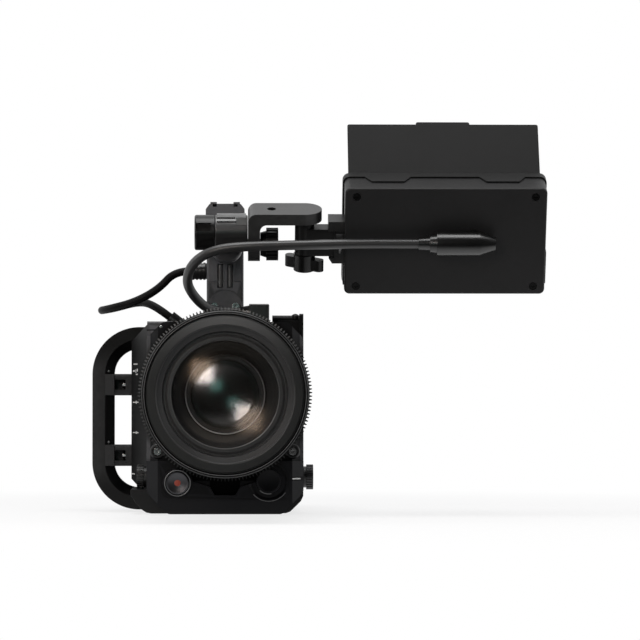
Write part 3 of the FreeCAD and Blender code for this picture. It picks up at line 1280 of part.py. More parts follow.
def monitor_back():
    """The half of the monitor's case that faces the subject."""
    case = monitor_section(MON_FACE, MON_SPLIT)
    case = soften(case, MON_EDGE, lambda e: abs(e.BoundBox.YMax - MON_FACE) < 1e-4)
    case = case.cut(monitor_section(MON_FACE + 3.0, MON_SPLIT + 1, 3.0))
    for x, z in monitor_screw_places():
        case = case.fuse(rod((x, MON_FACE + 2.5, z), Y, 3.6, MON_SPLIT - MON_FACE - 2.5))
        case = case.cut(rod((x, MON_FACE - 1, z), Y, 3.0, 2.4)).cut(rod((x, MON_FACE, z), Y, 1.3, 8.0))
    for cover in monitor_covers():
        case = case.fuse(cover)
    return tilted(case.removeSplitter())


def monitor_front():
    """The half of the case round the screen, with seats for the keys and covers."""
    case = monitor_section(MON_SPLIT, MON_REAR)
    room = monitor_section(MON_SPLIT - 1, MON_REAR - 2.5, 3.0)
    x0 = (MON_X0 + MON_X1 - SCREEN_W) / 2
    z0 = MON_BOTTOM + (MON_H - SCREEN_H) / 2
    window = box(x0 + 1.5, x0 + SCREEN_W - 1.5, 0, MON_REAR + 1, z0 + 1.5, z0 + SCREEN_H - 1.5)
    seat = box(x0, x0 + SCREEN_W, MON_REAR - SCREEN_T, MON_REAR + 1, z0, z0 + SCREEN_H)
    case = case.cut(room).cut(window).cut(seat)
    for z_low, z_high in MON_KEYS:
        case = case.cut(rounded_block(MON_X1 - 5, MON_X1 + 1, 3.5 - MON_KEY_D / 2 - SEAT_GAP, 3.5 + MON_KEY_D / 2 + SEAT_GAP,
                                      z_low - SEAT_GAP, z_high + SEAT_GAP, 2.0, "x"))
    return tilted(case.removeSplitter())


MON_KEYS = ((25.8, 39.2), (5.4, 18.9))
MON_COVERS = ((1, -28.1, -2.4), (-1, -29.4, -12.2))


def monitor_key(index):
    """One key at the right side of the monitor."""
    z_low, z_high = MON_KEYS[index]
    key = rounded_block(MON_X1 - 3 + MON_KEY_TRAVEL + 0.2, MON_X1 + MON_KEY_PROUD, 3.5 - MON_KEY_D / 2,
                        3.5 + MON_KEY_D / 2, z_low, z_high, 2.0, "x")
    return tilted(key)


def monitor_covers():
    """The rubber port covers at the sides of the monitor."""
    covers = []
    for side, z_low, z_high in MON_COVERS:
        x0 = MON_X1 if side > 0 else MON_X0 - MON_KEY_PROUD
        covers.append(rounded_block(x0, x0 + MON_KEY_PROUD, -9.0, 3.0, z_low, z_high, 2.0, "x"))
    return covers


def monitor_screws():
    """The four screws in the corners of the monitor's back."""
    group = []
    for x, z in monitor_screw_places():
        screw = rod((x, MON_FACE + 0.3, z), Y, 2.7, 1.1).fuse(rod((x, MON_FACE + 1.4, z), Y, 1.3, 6.0))
        cross = box(x - 1.6, x + 1.6, MON_FACE, MON_FACE + 0.8, z - 0.35, z + 0.35)
        cross = cross.fuse(box(x - 0.35, x + 0.35, MON_FACE, MON_FACE + 0.8, z - 1.6, z + 1.6))
        group.append(tilted(screw.cut(cross)))
    return Part.makeCompound(group)


def monitor_screen():
    """The screen, which faces the operator."""
    x0 = (MON_X0 + MON_X1 - SCREEN_W) / 2
    z0 = MON_BOTTOM + (MON_H - SCREEN_H) / 2
    return tilted(box(x0, x0 + SCREEN_W, MON_REAR - SCREEN_T, MON_REAR, z0, z0 + SCREEN_H))


HOOD_Y = MON_REAR + HOOD_DEPTH
FLAP_AXIS_Y = HOOD_Y + 1.9
FLAP_MIDDLE = (MON_X0 + MON_X1) / 2
TOP_FLAP_Z = MON_TOP - 2.0
SIDE_FLAP_X = FLAP_W / 2 + 0.5 + FLAP_ROLL_R
SIDE_FLAP_Z = TOP_FLAP_Z - 5.0 - SIDE_FLAP_H


def hood_frame():
    """The frame of the sun hood round the screen, with two tabs over the top of the monitor."""
    lip = HOOD_LIP
    frame = rounded_block(MON_X0 - lip, MON_X1 + lip, MON_REAR, HOOD_Y, MON_BOTTOM - lip, MON_TOP + lip,
                          MON_R + lip, "y")
    m = HOOD_WINDOW_MARGIN
    x0 = (MON_X0 + MON_X1 - SCREEN_W) / 2
    z0 = MON_BOTTOM + (MON_H - SCREEN_H) / 2
    frame = frame.cut(box(x0 - m, x0 + SCREEN_W + m, MON_REAR - 1, HOOD_Y + 1, z0 - m + 2, z0 + SCREEN_H + m - 2))
    for middle in (MON_X0 + 32.0, MON_X1 - 32.0):
        half = HOOD_TAB_W / 2
        tab = prism([(middle - half, MON_REAR), (middle - half + 5, MON_REAR - HOOD_TAB_L),
                     (middle + half - 5, MON_REAR - HOOD_TAB_L), (middle + half, MON_REAR)], [0, 1.5, 1.5, 0], "z",
                    MON_TOP, MON_TOP + lip)
        frame = frame.fuse(tab)
    for side in (-1, 1):
        ear_x = FLAP_MIDDLE + side * (FLAP_W / 2 - 12.0)
        ear = box(ear_x - 2, ear_x + 2, HOOD_Y, FLAP_AXIS_Y, TOP_FLAP_Z - 1.6, TOP_FLAP_Z + 1.6)
        ear = ear.fuse(rod((ear_x - 2, FLAP_AXIS_Y, TOP_FLAP_Z), X, 1.6, 4))
        pin = rod((ear_x - 5, FLAP_AXIS_Y, TOP_FLAP_Z), X, FLAP_PIN_R * 0.6, 10)
        frame = frame.fuse(ear).fuse(pin)
        x = FLAP_MIDDLE + side * SIDE_FLAP_X
        for z in (SIDE_FLAP_Z + 9.0, SIDE_FLAP_Z + SIDE_FLAP_H - 9.0):
            ear = box(x - 1.6, x + 1.6, HOOD_Y, FLAP_AXIS_Y, z - 2, z + 2)
            ear = ear.fuse(rod((x, FLAP_AXIS_Y, z - 2), Z, 1.6, 4))
            frame = frame.fuse(ear).fuse(rod((x, FLAP_AXIS_Y, z - 5), Z, FLAP_PIN_R * 0.6, 10))
    return tilted(frame.removeSplitter())


def flap_leaf(width, length, ears, taper, corner):
    """A flap drawn along +Y from its hinge line on X, with room cut out for the hinge ears."""
    half = width / 2
    leaf = prism([(-half, 0), (half, 0), (half - taper, length), (-half + taper, length)], [0, 0, corner, corner], "z",
                 -FLAP_T / 2, FLAP_T / 2)
    leaf = leaf.fuse(rod((-half, 0, 0), X, FLAP_ROLL_R, width))
    for at in ears:
        leaf = leaf.cut(box(at - 2.3, at + 2.3, -4, 4, -4, 4))
        leaf = leaf.cut(rod((at - 5.5, 0, 0), X, FLAP_PIN_R * 0.6 + RUN_GAP, 11))
    return leaf


def hood_top_flap():
    """The top flap of the hood, open above the monitor, with a pull tab."""
    leaf = flap_leaf(FLAP_W, FLAP_L, (-FLAP_W / 2 + 12.0, FLAP_W / 2 - 12.0), 0.0, 1.5)
    leaf = leaf.fuse(rounded_block(-20, 20, FLAP_L - 2, FLAP_L + 2, -FLAP_T / 2, FLAP_T / 2, 1.4, "z"))
    leaf.rotate(Vector(0, 0, 0), X, FLAP_OPEN_DEG)
    leaf.translate(Vector(FLAP_MIDDLE, FLAP_AXIS_Y, TOP_FLAP_Z))
    return tilted(leaf.removeSplitter())


def hood_side_flap(side):
    """A side flap of the hood, square to the screen."""
    ears = (-SIDE_FLAP_H / 2 + 9.0, SIDE_FLAP_H / 2 - 9.0)
    leaf = flap_leaf(SIDE_FLAP_H, SIDE_FLAP_L, ears, SIDE_FLAP_TAPER, 5.0)
    leaf.rotate(Vector(0, 0, 0), Y, 90)
    leaf.translate(Vector(FLAP_MIDDLE + side * SIDE_FLAP_X, FLAP_AXIS_Y, SIDE_FLAP_Z + SIDE_FLAP_H / 2))
    return tilted(leaf.removeSplitter())


PLUG_Y = MON_FACE - PLUG_R - PLUG_GAP


def monitor_plug():
    """The right-angled plug on the monitor's back, with its strain relief."""
    body = rod((PLUG_X0, PLUG_Y, PLUG_LZ), X, PLUG_R, PLUG_X1 - PLUG_X0 - 12.0)
    nose = Part.makeCone(PLUG_R, PLUG_R * 0.55, 12.0, Vector(PLUG_X1 - 12.0, PLUG_Y, PLUG_LZ), X)
    neck = rod((PLUG_X1 - 16.0, PLUG_Y, PLUG_LZ), Y, PLUG_R - 1.4, PLUG_R + PLUG_GAP)
    start = Vector(PLUG_X0 - RELIEF_L, PLUG_Y, PLUG_LZ)
    relief = Part.makeCone(MON_CABLE_D / 2 + 0.9, RELIEF_R, RELIEF_L, start, X)
    collar = Part.makeCone(RELIEF_R + 1.2, RELIEF_R + 1.9, 5.0, Vector(PLUG_X0 - 5.0, PLUG_Y, PLUG_LZ), X)
    return tilted(body.fuse(nose).fuse(neck).fuse(relief).fuse(collar).removeSplitter())


def body_plug():
    """The plug of the monitor cable on the top plate."""
    x0 = BODY_PLUG_X
    y0 = BODY_PLUG_Y - BODY_PLUG_D / 2
    block = rounded_block(x0, x0 + BODY_PLUG_W, y0, y0 + BODY_PLUG_D, BODY_H, BODY_H + BODY_PLUG_H, 1.5, "x")
    block = soften(block, 1.2, lambda e: level_line(e, "x", x0 + BODY_PLUG_W))
    end = Vector(*MONITOR_CABLE[-1])
    boot = Part.makeCone(MON_CABLE_D / 2 + 0.6, 5.4, x0 - end.x, end, X)
    return block.fuse(boot).removeSplitter()


def handle_plug():
    """The ribbed plug of the handle cable at the left of the front post."""
    start = -POST_HALF_W - HANDLE_PLUG_L
    plug = rod((start, HANDLE_PORT_Y, HANDLE_PORT_Z), X, HANDLE_PLUG_R - 0.6, HANDLE_PLUG_L)
    for i in range(4):
        plug = plug.fuse(rod((start + 1.0 + 2.8 * i, HANDLE_PORT_Y, HANDLE_PORT_Z), X, HANDLE_PLUG_R, 1.7))
    return plug.removeSplitter()


def top_port_plug():
    """The leaning plug of the handle cable on the left of the top plate."""
    lean = FreeCAD.Rotation(Y, TOP_PLUG_LEAN_DEG)
    way = lean.multVec(Z)
    base = Vector(TOP_PORT_X, TOP_PORT_Y, BODY_H) - way * 6.0
    plug = Part.makeCylinder(TOP_PLUG_R, TOP_PLUG_L + 6.0, base, way)
    flange = rod((TOP_PORT_X, TOP_PORT_Y, BODY_H), Z, TOP_PLUG_R + 2.0, 1.6)
    return plug.fuse(flange).cut(box(-100, 0, -100, 100, 0, BODY_H)).removeSplitter()


def top_port_end():
    """Where the handle cable meets its leaning plug, and the plug's direction."""
    way = FreeCAD.Rotation(Y, TOP_PLUG_LEAN_DEG).multVec(Z)
    return Vector(TOP_PORT_X, TOP_PORT_Y, BODY_H) + way * TOP_PLUG_L, way


# Routes of the two cables, from one plug to the other
MONITOR_CABLE = [
    tuple(tilted_point(PLUG_X0 - RELIEF_L, PLUG_Y, PLUG_LZ)),
    tuple(tilted_point(PLUG_X0 - RELIEF_L - 12.0, PLUG_Y, PLUG_LZ)),
    (96.0, -105.4, 199.6), (50.0, -106.0, 198.4), (14.0, -106.0, 197.6), (-9.0, -104.0, 195.0), (-24.0, -97.0, 186.0),
    (-29.0, -86.0, 173.0), (-24.0, -73.0, 162.5), (-14.0, -58.5, 153.0),
    (BODY_PLUG_X - 19.0, BODY_PLUG_Y, BODY_H + 7.2), (BODY_PLUG_X - 6.5, BODY_PLUG_Y, BODY_H + 7.2),
]
PORT_END, PORT_WAY = top_port_end()
HANDLE_CABLE = [
    (-POST_HALF_W - HANDLE_PLUG_L, HANDLE_PORT_Y, HANDLE_PORT_Z),
    (-POST_HALF_W - HANDLE_PLUG_L - 12.0, HANDLE_PORT_Y, HANDLE_PORT_Z),
    (-50.0, -24.5, 168.5), (-68.0, -25.0, 158.5), (-88.0, -19.0, 153.5), (-96.0, -1.0, 152.5), (-84.0, 16.0, 155.0),
    (-66.0, 12.0, 160.0),
    tuple(PORT_END + PORT_WAY * 15.0), tuple(PORT_END),
]


def cord(points, diameter):
    """A tube of straight runs joined by tangent arcs."""
    route = [Vector(*p) for p in points]
    edges = []
    here = route[0]
    tightest = 1e9
    for i in range(1, len(route) - 1):
        back = route[i - 1] - route[i]
        ahead = route[i + 1] - route[i]
        reach = 0.45 * min(back.Length, ahead.Length)
        turn = math.pi - back.getAngle(ahead)
        radius = reach / math.tan(turn / 2)
        tightest = min(tightest, radius)
        back.normalize()
        ahead.normalize()
        start = route[i] + back * reach
        end = route[i] + ahead * reach
        middle = back + ahead
        middle.normalize()
        deep = route[i] + middle * (radius / math.cos(turn / 2) - radius)
        edges.append(Part.LineSegment(here, start).toShape())
        edges.append(Part.Arc(start, deep, end).toShape())
        here = end
    edges.append(Part.LineSegment(here, route[-1]).toShape())
    wire = Part.Wire(edges)
    first = route[1] - route[0]
    section = Part.Wire([Part.makeCircle(diameter / 2, route[0], first)])
    tube = wire.makePipeShell([section], True, False)
    length = sum(edge.Length for edge in edges)
    share = tube.Volume / (math.pi * diameter ** 2 / 4 * length)
    print("cord length %.1f tightest radius %.1f volume share %.3f" % (length, tightest, share))
    return tube


def monitor_cable():
    return cord(MONITOR_CABLE, MON_CABLE_D)


def handle_cable():
    return cord(HANDLE_CABLE, HANDLE_CABLE_D)


PARTS = {
    "body_shell": body_shell,
    "base_plate": base_plate,
    "top_plate": top_plate,
    "rear_cover": rear_cover,
    "front_cover": front_cover,
    "rec_button": rec_button,
    "release_button": release_button,
    "dial_left": lambda: side_dial(-1),
    "dial_right": lambda: side_dial(1),
    "port_panel": port_panel,
    "side_guard": side_guard,
    "display_panel": display_panel,
    "side_display": side_display,
    "panel_key": panel_key,
    "card_door": card_door,
    "cap_screws": screws,
    "strap_lug": strap_lug,
    "lens_mount": lens_mount,
    "lens_barrel": lens_barrel,
    "lens_collars": lens_collars,
    "lens_front_ring": lens_front_ring,
    "front_glass": front_glass,
    "focus_ring": focus_ring,
    "zoom_ring": zoom_ring,
    "iris_ring": iris_ring,
    "focus_cell": lambda: group_cell(FOCUS_GROUP_DEPTH),
    "focus_glass": lambda: group_glass(FOCUS_GROUP_DEPTH),
    "zoom_group": lambda: group_cell(ZOOM_GROUP_DEPTH).fuse(group_glass(ZOOM_GROUP_DEPTH)),
    "iris_rotor": iris_rotor,
    "sensor_block": heat_sink,
    "fan_rotor": fan_rotor,
    "main_board": main_board,
    "battery_plate": battery_plate,
    "battery_latch": battery_latch,
    "battery": battery,
    "handle_post": handle_post,
    "handle_grip": handle_grip,
    "handle_key": handle_key,
    "clamp_block": clamp_block,
    "lock_knob": lock_knob,
    "monitor_arm": monitor_arm,
    "tilt_knob": tilt_knob,
    "swivel_bracket": swivel_bracket,
    "wing_knob": wing_knob,
    "monitor_back": monitor_back,
    "monitor_front": monitor_front,
    "monitor_screen": monitor_screen,
    "monitor_screws": monitor_screws,
    "monitor_key_upper": lambda: monitor_key(0),
    "monitor_key_lower": lambda: monitor_key(1),
    "hood_frame": hood_frame,
    "hood_top_flap": hood_top_flap,
    "hood_left_flap": lambda: hood_side_flap(-1),
    "hood_right_flap": lambda: hood_side_flap(1),
    "monitor_plug": monitor_plug,
    "body_plug": body_plug,
    "handle_cable_plugs": lambda: Part.makeCompound([handle_plug(), top_port_plug()]),
    "monitor_cable": monitor_cable,
    "handle_cable": handle_cable,
}


def main():
    os.makedirs("parts", exist_ok=True)
    for name, build in PARTS.items():
        shape = build()
        solids = shape.Solids
        valid = shape.isValid() and all(solid.isClosed() for solid in solids)
        bounds = shape.BoundBox
        print("%-18s solids %2d valid %s volume %9.0f  x %7.1f %7.1f  y %7.1f %7.1f  z %7.1f %7.1f" % (
            name, len(solids), valid, shape.Volume, bounds.XMin, bounds.XMax, bounds.YMin, bounds.YMax,
            bounds.ZMin, bounds.ZMax))
        shape.exportStep("parts/" + name + ".step")


main()
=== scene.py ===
# %% [markdown]
# # A digital cinema camera, dressed in Blender
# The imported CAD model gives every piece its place. This notebook gives each piece its surface: fine
# roundings, turned rings, gear teeth, glass, screws, cables and finishes. Lengths are written in
# millimetres and turned into metres by one factor.

import json
import math

import bmesh
import bpy
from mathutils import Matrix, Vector


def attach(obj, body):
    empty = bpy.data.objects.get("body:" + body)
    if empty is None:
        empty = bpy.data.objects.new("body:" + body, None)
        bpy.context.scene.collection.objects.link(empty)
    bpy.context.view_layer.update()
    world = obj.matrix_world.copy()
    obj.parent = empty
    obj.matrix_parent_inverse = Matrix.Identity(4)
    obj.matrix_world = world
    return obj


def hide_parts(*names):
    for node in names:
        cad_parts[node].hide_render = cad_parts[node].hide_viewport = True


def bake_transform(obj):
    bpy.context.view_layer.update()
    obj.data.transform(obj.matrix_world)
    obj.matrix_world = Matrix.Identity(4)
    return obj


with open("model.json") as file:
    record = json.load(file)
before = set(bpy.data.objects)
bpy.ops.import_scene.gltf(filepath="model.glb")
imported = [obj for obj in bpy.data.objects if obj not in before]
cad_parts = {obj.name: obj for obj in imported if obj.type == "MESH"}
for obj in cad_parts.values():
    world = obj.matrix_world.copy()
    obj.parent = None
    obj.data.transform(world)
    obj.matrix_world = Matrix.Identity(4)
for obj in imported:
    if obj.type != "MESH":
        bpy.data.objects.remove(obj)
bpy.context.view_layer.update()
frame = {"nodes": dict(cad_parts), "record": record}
MM = 0.001
AXIS_Z = 89.0  # height of the optical axis in millimetres
AXIS = AXIS_Z * MM
SIDES = ((-1, "left"), (1, "right"))
record = frame["record"]
node_body = {node: body for body, nodes in record["behaviour"]["bodies"].items() for node in nodes}
node_slot = {part["node"]: part["material_slot"] for part in record["subparts"]}

# %% [markdown]
# ## Shader maths
# Finishes are easier to read as sums and products than as boxes and wires. One small class wraps a
# socket and turns each operator into a Math node; a second one makes every other node.

# %% A wrapped socket and a material under construction
class Wire:
    """A socket that can be added, multiplied and compared."""

    def __init__(self, graph, socket):
        self.graph = graph
        self.socket = socket

    def math(self, operation, *values):
        return self.graph.node("ShaderNodeMath", {"operation": operation}, values)

    def __add__(self, other): return self.math("ADD", self, other)
    __radd__ = __add__
    def __mul__(self, other): return self.math("MULTIPLY", self, other)
    def __sub__(self, other): return self.math("SUBTRACT", self, other)
    def __rsub__(self, other): return self.math("SUBTRACT", other, self)
    def __truediv__(self, other): return self.math("DIVIDE", self, other)
    def __gt__(self, other): return self.math("GREATER_THAN", self, other)
    def __lt__(self, other): return self.math("LESS_THAN", self, other)
    def __pow__(self, other): return self.math("POWER", self, other)
    def larger(self, other): return self.math("MAXIMUM", self, other)
    def sine(self): return self.math("SINE", self)
    def absolute(self): return self.math("ABSOLUTE", self)


class Finish:
    """A material built node by node around one Principled shader."""

    def __init__(self, name, **constants):
        self.material = bpy.data.materials.new(name)
        self.material.use_nodes = True
        self.nodes = self.material.node_tree.nodes
        self.links = self.material.node_tree.links
        self.shader = self.nodes["Principled BSDF"]
        for socket, value in constants.items():
            self.shader.inputs[socket.replace("_", " ")].default_value = value

    def node(self, kind, settings=None, values=None, out=0):
        made = self.nodes.new(kind)
        for key, value in (settings or {}).items():
            setattr(made, key, value)
        pairs = values.items() if isinstance(values, dict) else enumerate(values or [])
        for key, value in pairs:
            if isinstance(value, Wire):
                self.links.new(value.socket, made.inputs[key])
            else:
                made.inputs[key].default_value = value
        return Wire(self, made.outputs[out])

    def feed(self, **wires):
        for socket, wire in wires.items():
            self.links.new(wire.socket, self.shader.inputs[socket.replace("_", " ")])
        return self.material

    def place(self):
        return self.node("ShaderNodeTexCoord", out="Object")

    def axes(self, space="Object"):
        split = self.node("ShaderNodeSeparateXYZ", None, [self.node("ShaderNodeTexCoord", out=space)])
        return [Wire(self, socket) for socket in split.socket.node.outputs]

    def noise(self, scale, detail=2.0, rough=0.55):
        return self.node("ShaderNodeTexNoise", None, {
            "Vector": self.place(), "Scale": scale, "Detail": detail, "Roughness": rough})

    def clamp(self, value, high=1.0):
        return self.node("ShaderNodeClamp", None, [value, 0.0, high])

    def ease(self, value, start, end, low=0.0, high=1.0):
        """A soft step from low to high while the value goes from start to end."""
        return self.node("ShaderNodeMapRange", {"interpolation_type": "SMOOTHSTEP"}, [value, start, end, low, high])

    def shade(self, mask, low, high):
        """A colour between two, chosen by a mask from 0 to 1."""
        return self.node("ShaderNodeMix", {"data_type": "RGBA"}, {0: mask, 6: low, 7: high}, out=2)

    def bump(self, height, strength, depth):
        return self.node("ShaderNodeBump", None, {"Strength": strength, "Distance": depth, "Height": height})


NEUTRAL = (1.0, 1.0, 1.0)
COOL = (1.0, 1.0, 1.02)


def grey(level, tint=NEUTRAL):
    return (level * tint[0], level * tint[1], level * tint[2], 1.0)

# %% [markdown]
# ## The finishes
# The real camera is nearly all black, yet no two blacks are alike: powder paint on the castings,
# satin anodising on the turned rings, moulded plastic on the monitor, rubber on plugs and cables.
# Each finish mixes two close tones with a slow noise, has its own fine grain as bump, and lets the
# roughness drift a little, so that large faces don't look printed.

# %% Powder paint, moulded plastic and rubber
MATT = {"Specular_IOR_Level": 0.2}
GLOSS = {"Specular_IOR_Level": 0.8}
LENS_SHADE = (0.0640, 0.0690)  # painted shade round the lens: the colour is painted black up to the first of these distances from its axis and comes back by the second, in metres
GUARD_MIDDLE = 0.0708  # height of the middle of the side guard in metres
GUARD_SHADE_SPAN = (0.034, 0.056)  # distances from that middle between which a painted shade darkens the guard to black
EDGE = (0.52, 14.0)  # the pointiness at which wear begins, and how fast it grows


def grained(name, level, rough, grain=2600.0, depth=0.00003, tint=NEUTRAL, strength=0.5, wear=0.0, shaded=None,
            lit=None, low=None, ends=False, **extra):
    """A dark finish with a fine grain. grain is in grains per metre, depth in metres.

    wear bares the edges. shaded is a place on Y: in front of it the colour is painted black close round the lens,
    as painted shade. lit is a span of heights over which the colour comes out of a painted shade that darkens
    what lies below it, and low is a height below which the colour is painted darker, as painted shade. ends
    paints it black towards the top and the bottom of the side guard, as painted shade.
    """
    f = Finish(name, **extra)
    x, y, z = f.axes()
    slow = f.noise(28.0)
    fine = f.noise(grain, 2.0, 0.7)
    colour = f.shade(slow, grey(level * 0.82, tint), grey(level * 1.2, tint))
    if wear:
        edge = f.node("ShaderNodeNewGeometry", out="Pointiness")
        worn = f.clamp((edge - EDGE[0]) * EDGE[1] * f.noise(160.0, 4.0), wear)
        colour = f.shade(worn, colour, grey(level * 4.0 + 0.03, tint))
    # painted shade: the colour goes black close round the lens, in front of the place on Y given by shaded
    if shaded is not None:
        reach = (x * x + (z - AXIS) * (z - AXIS)) ** 0.5
        colour = f.shade(f.ease(reach, *LENS_SHADE).larger(y > shaded), grey(0.0006), colour)
    # painted shade: the colour is darker below the span of heights given by lit
    if lit is not None:
        colour = f.shade(f.ease(z, *lit), f.shade(0.75, colour, grey(0.0)), colour)
    # painted shade: the colour is darker below the height given by low
    if low is not None:
        colour = f.shade(f.ease(z, low - 0.004, low + 0.004, 1.0, 0.0), colour, grey(level * 0.15))
    # painted shade: the colour goes black towards the curved top and bottom of the side guard
    if ends:
        colour = f.shade(f.ease((z - GUARD_MIDDLE).absolute(), *GUARD_SHADE_SPAN), colour, grey(0.0008))
    return f.feed(Base_Color=colour, Roughness=rough + (slow - 0.5) * 0.14 + (fine - 0.5) * 0.08,
                  Normal=f.bump(fine, strength, depth))


# CASE, PANEL and PORT are painted black close round the lens, as painted shade; CASE is also painted darker low down,
# as painted shade.
CASE = grained("case_paint", 0.038, 0.44, 2600.0, 0.00005, (1.0, 1.01, 1.08), wear=0.35, shaded=-0.05, low=0.019)
PANEL = grained("front_panel_paint", 0.003, 0.42, 3200.0, 0.00004, (1.0, 1.0, 1.16), wear=0.12, shaded=0.0,
                Specular_IOR_Level=0.12)
# GUARD is painted black towards the curved top and bottom of the side guard, as painted shade.
GUARD = grained("guard_paint", 0.013, 0.40, 2200.0, 0.00005, COOL, wear=0.25, ends=True, **MATT)
PORT = grained("port_panel_paint", 0.003, 0.50, 2600.0, 0.00004, COOL, wear=0.1, shaded=0.03, **MATT)
ARM = grained("arm_paint", 0.013, 0.34, 2600.0, 0.00004, wear=0.35)
# CLAMP is painted darker below a band on its barrel, as painted shade. RIB is a brighter copy of the case paint, a
# painted highlight on the post's ribs and the release's rim.
CLAMP = grained("clamp_metal", 0.055, 0.30, wear=0.3, lit=(0.2085, 0.2125), **GLOSS)
RIB = grained("rib_highlight_paint", 0.090, 0.30, **GLOSS)
KNOB = grained("knob_black", 0.003, 0.33, Specular_IOR_Level=0.4)
BRACKET = grained("bracket_black", 0.006, 0.36, wear=0.3, **MATT)
PLUG = grained("plug_rubber", 0.003, 0.30, **GLOSS)
PLASTIC = grained("moulded_plastic", 0.014, 0.46, 1800.0, 0.00006, COOL)
HOOD = grained("hood_plastic", 0.007, 0.52, 1800.0, 0.00005, **MATT)
MONITOR = grained("monitor_plastic", 0.015, 0.46, 2600.0, 0.00005, COOL, **MATT)
RUBBER = grained("soft_rubber", 0.013, 0.56, 3000.0, 0.00004)
# DARK is near black: the slots drawn as flat bars wear it as painted shade, and the shoulder fill wears it too. The
# next finish is the near-black of a sheet in the notch, a painted shade.
DARK = grained("black_recess", 0.003, 0.8, 1500.0, **MATT)
NOTCH_SHADE = grained("notch_painted_shade", 0.0008, 0.8, 1500.0, Specular_IOR_Level=0.03)
CABLE = grained("cable_jacket", 0.016, 0.40, 900.0, tint=COOL, strength=0.3, **GLOSS)
LEAD = grained("lead_jacket", 0.003, 0.50, 900.0, tint=COOL, strength=0.3, Specular_IOR_Level=0.12)

# %% Turned and anodised rings
LINES = 9000.0  # fine lines on turned faces and displays, in radians per metre


def turned_finish(name, level, rough, crown=0.0, foot=0.0, **extra):
    """Satin black with the faint rings that a lathe leaves about the lens axis.

    The rings stretch the light of the top panel over the upper part of a flat face; crown paints that sheen into the
    colour, a painted highlight towards the top. Inside a funnel the same light falls on the lower part; foot paints the
    colour towards its own level at the bottom, as painted light where it is paler and painted shade where it is darker.
    """
    f = Finish(name, **extra)
    x, y, z = f.axes()
    height = z - AXIS
    radius = (x * x + height * height) ** 0.5
    grooves = (radius * LINES).sine() * 0.5 + (y * LINES).sine() * 0.5
    slow = f.noise(40.0)
    up = height / (radius + 0.0001)
    colour = f.shade(slow, grey(level * 0.85), grey(level * 1.15))
    # painted highlight: the colour goes towards crown at the top, about the lens axis
    if crown:
        colour = f.shade(f.clamp(up) ** 3.0, colour, grey(crown))
    # painted light where foot is paler, painted shade where it is darker: the colour goes towards foot at the bottom
    if foot:
        colour = f.shade(f.clamp(up * -0.5 + 0.5), colour, grey(foot))
    return f.feed(Base_Color=colour, Roughness=rough + (slow - 0.5) * 0.1 + grooves * 0.02,
                  Normal=f.bump(grooves, 0.10, 0.00002))


RING = turned_finish("ring_anodising", 0.012, 0.36)
# TOOTH is a bright copy of the ring's anodising on the teeth, a painted highlight, painted dark at the bottom as
# painted shade. GEAR paints the root between the teeth near black, as painted shade.
TOOTH = turned_finish("tooth_anodising_painted_highlight", 0.160, 0.36, foot=0.003)
GEAR = turned_finish("gear_root", 0.004, 0.5, **MATT)
# FRONT is painted paler towards the top of the front ring, a painted sheen.
FRONT = turned_finish("front_ring_anodising_painted_sheen", 0.011, 0.40, crown=0.080)
BAND = turned_finish("inner_band", 0.030, 0.40)
# RIM is painted near black, a painted shade on the rim before the teeth.
RIM = turned_finish("rim_painted_shade", 0.002, 0.5, Specular_IOR_Level=0.05)
# CONE is painted paler towards the bottom, painted light.
CONE = turned_finish("satin_cone", 0.006, 0.42, foot=0.080)
BAFFLE = turned_finish("baffle_black", 0.004, 0.55, **MATT)
RETAINER = turned_finish("retaining_ring", 0.035, 0.36)
# LIP and FRONT_LIP are thin bright rings, painted highlights, paler still towards the bottom.
LIP = turned_finish("bright_lip", 0.04, 0.30, foot=0.95)
FRONT_LIP = turned_finish("front_lip", 0.05, 0.34, foot=0.10)

# %% Metal, ink, boards and screens
def metal(name, level, rough, tint=NEUTRAL, scale=900.0):
    f = Finish(name, Metallic=1.0)
    brush = f.noise(scale, 4.0, 0.7)
    colour = f.shade(brush, grey(level * 0.85, tint), grey(level * 1.1, tint))
    return f.feed(Base_Color=colour, Roughness=rough + (brush - 0.5) * 0.12, Normal=f.bump(brush, 0.15, 0.00003))


def ink(name, *colour):
    f = Finish(name)
    spots = f.noise(5000.0)
    return f.feed(Base_Color=f.shade(spots, grey(0.85, colour), grey(1.0, colour)),
                  Roughness=0.5 + (spots - 0.5) * 0.1)


STEEL = metal("blackened_steel", 0.16, 0.30)
BRIGHT = metal("bright_steel", 0.55, 0.25)
GOLD = metal("gilt_contact", 0.75, 0.22, (1.0, 0.78, 0.40))
BUTTON = metal("button_face", 0.060, 0.36, (1.0, 1.0, 1.06), 2400.0)
SINK = metal("blasted_aluminium", 0.50, 0.5)
WHITE = ink("white_ink", 0.78, 0.78, 0.76)
AMBER = ink("amber_ink", 0.75, 0.42, 0.08)
RED = ink("red_ink", 0.36, 0.05, 0.025)
BOLT = metal("cap_screw_steel", 0.42, 0.24)
SCREW = metal("monitor_screw", 0.012, 0.30)


def board_finish():
    """Green solder mask with paler tracks."""
    f = Finish("circuit_board")
    tracks = f.node("ShaderNodeTexVoronoi", {"feature": "DISTANCE_TO_EDGE"}, {"Vector": f.place(), "Scale": 300.0})
    lines = tracks < 0.06
    return f.feed(Base_Color=f.shade(lines, (0.012, 0.07, 0.03, 1), (0.05, 0.20, 0.08, 1)),
                  Roughness=0.35 + lines * 0.1)


def screen_finish():
    """A dark glass display with a faint grid of cells."""
    f = Finish("display_glass", Coat_Weight=0.6, Coat_Roughness=0.04)
    x, y, z = f.axes()
    cells = (y * LINES).sine() * (z * LINES).sine()
    return f.feed(Base_Color=f.shade(cells * 0.5 + 0.5, grey(0.006), grey(0.010, (0.9, 1.0, 1.2))),
                  Roughness=0.12 + cells * 0.02)


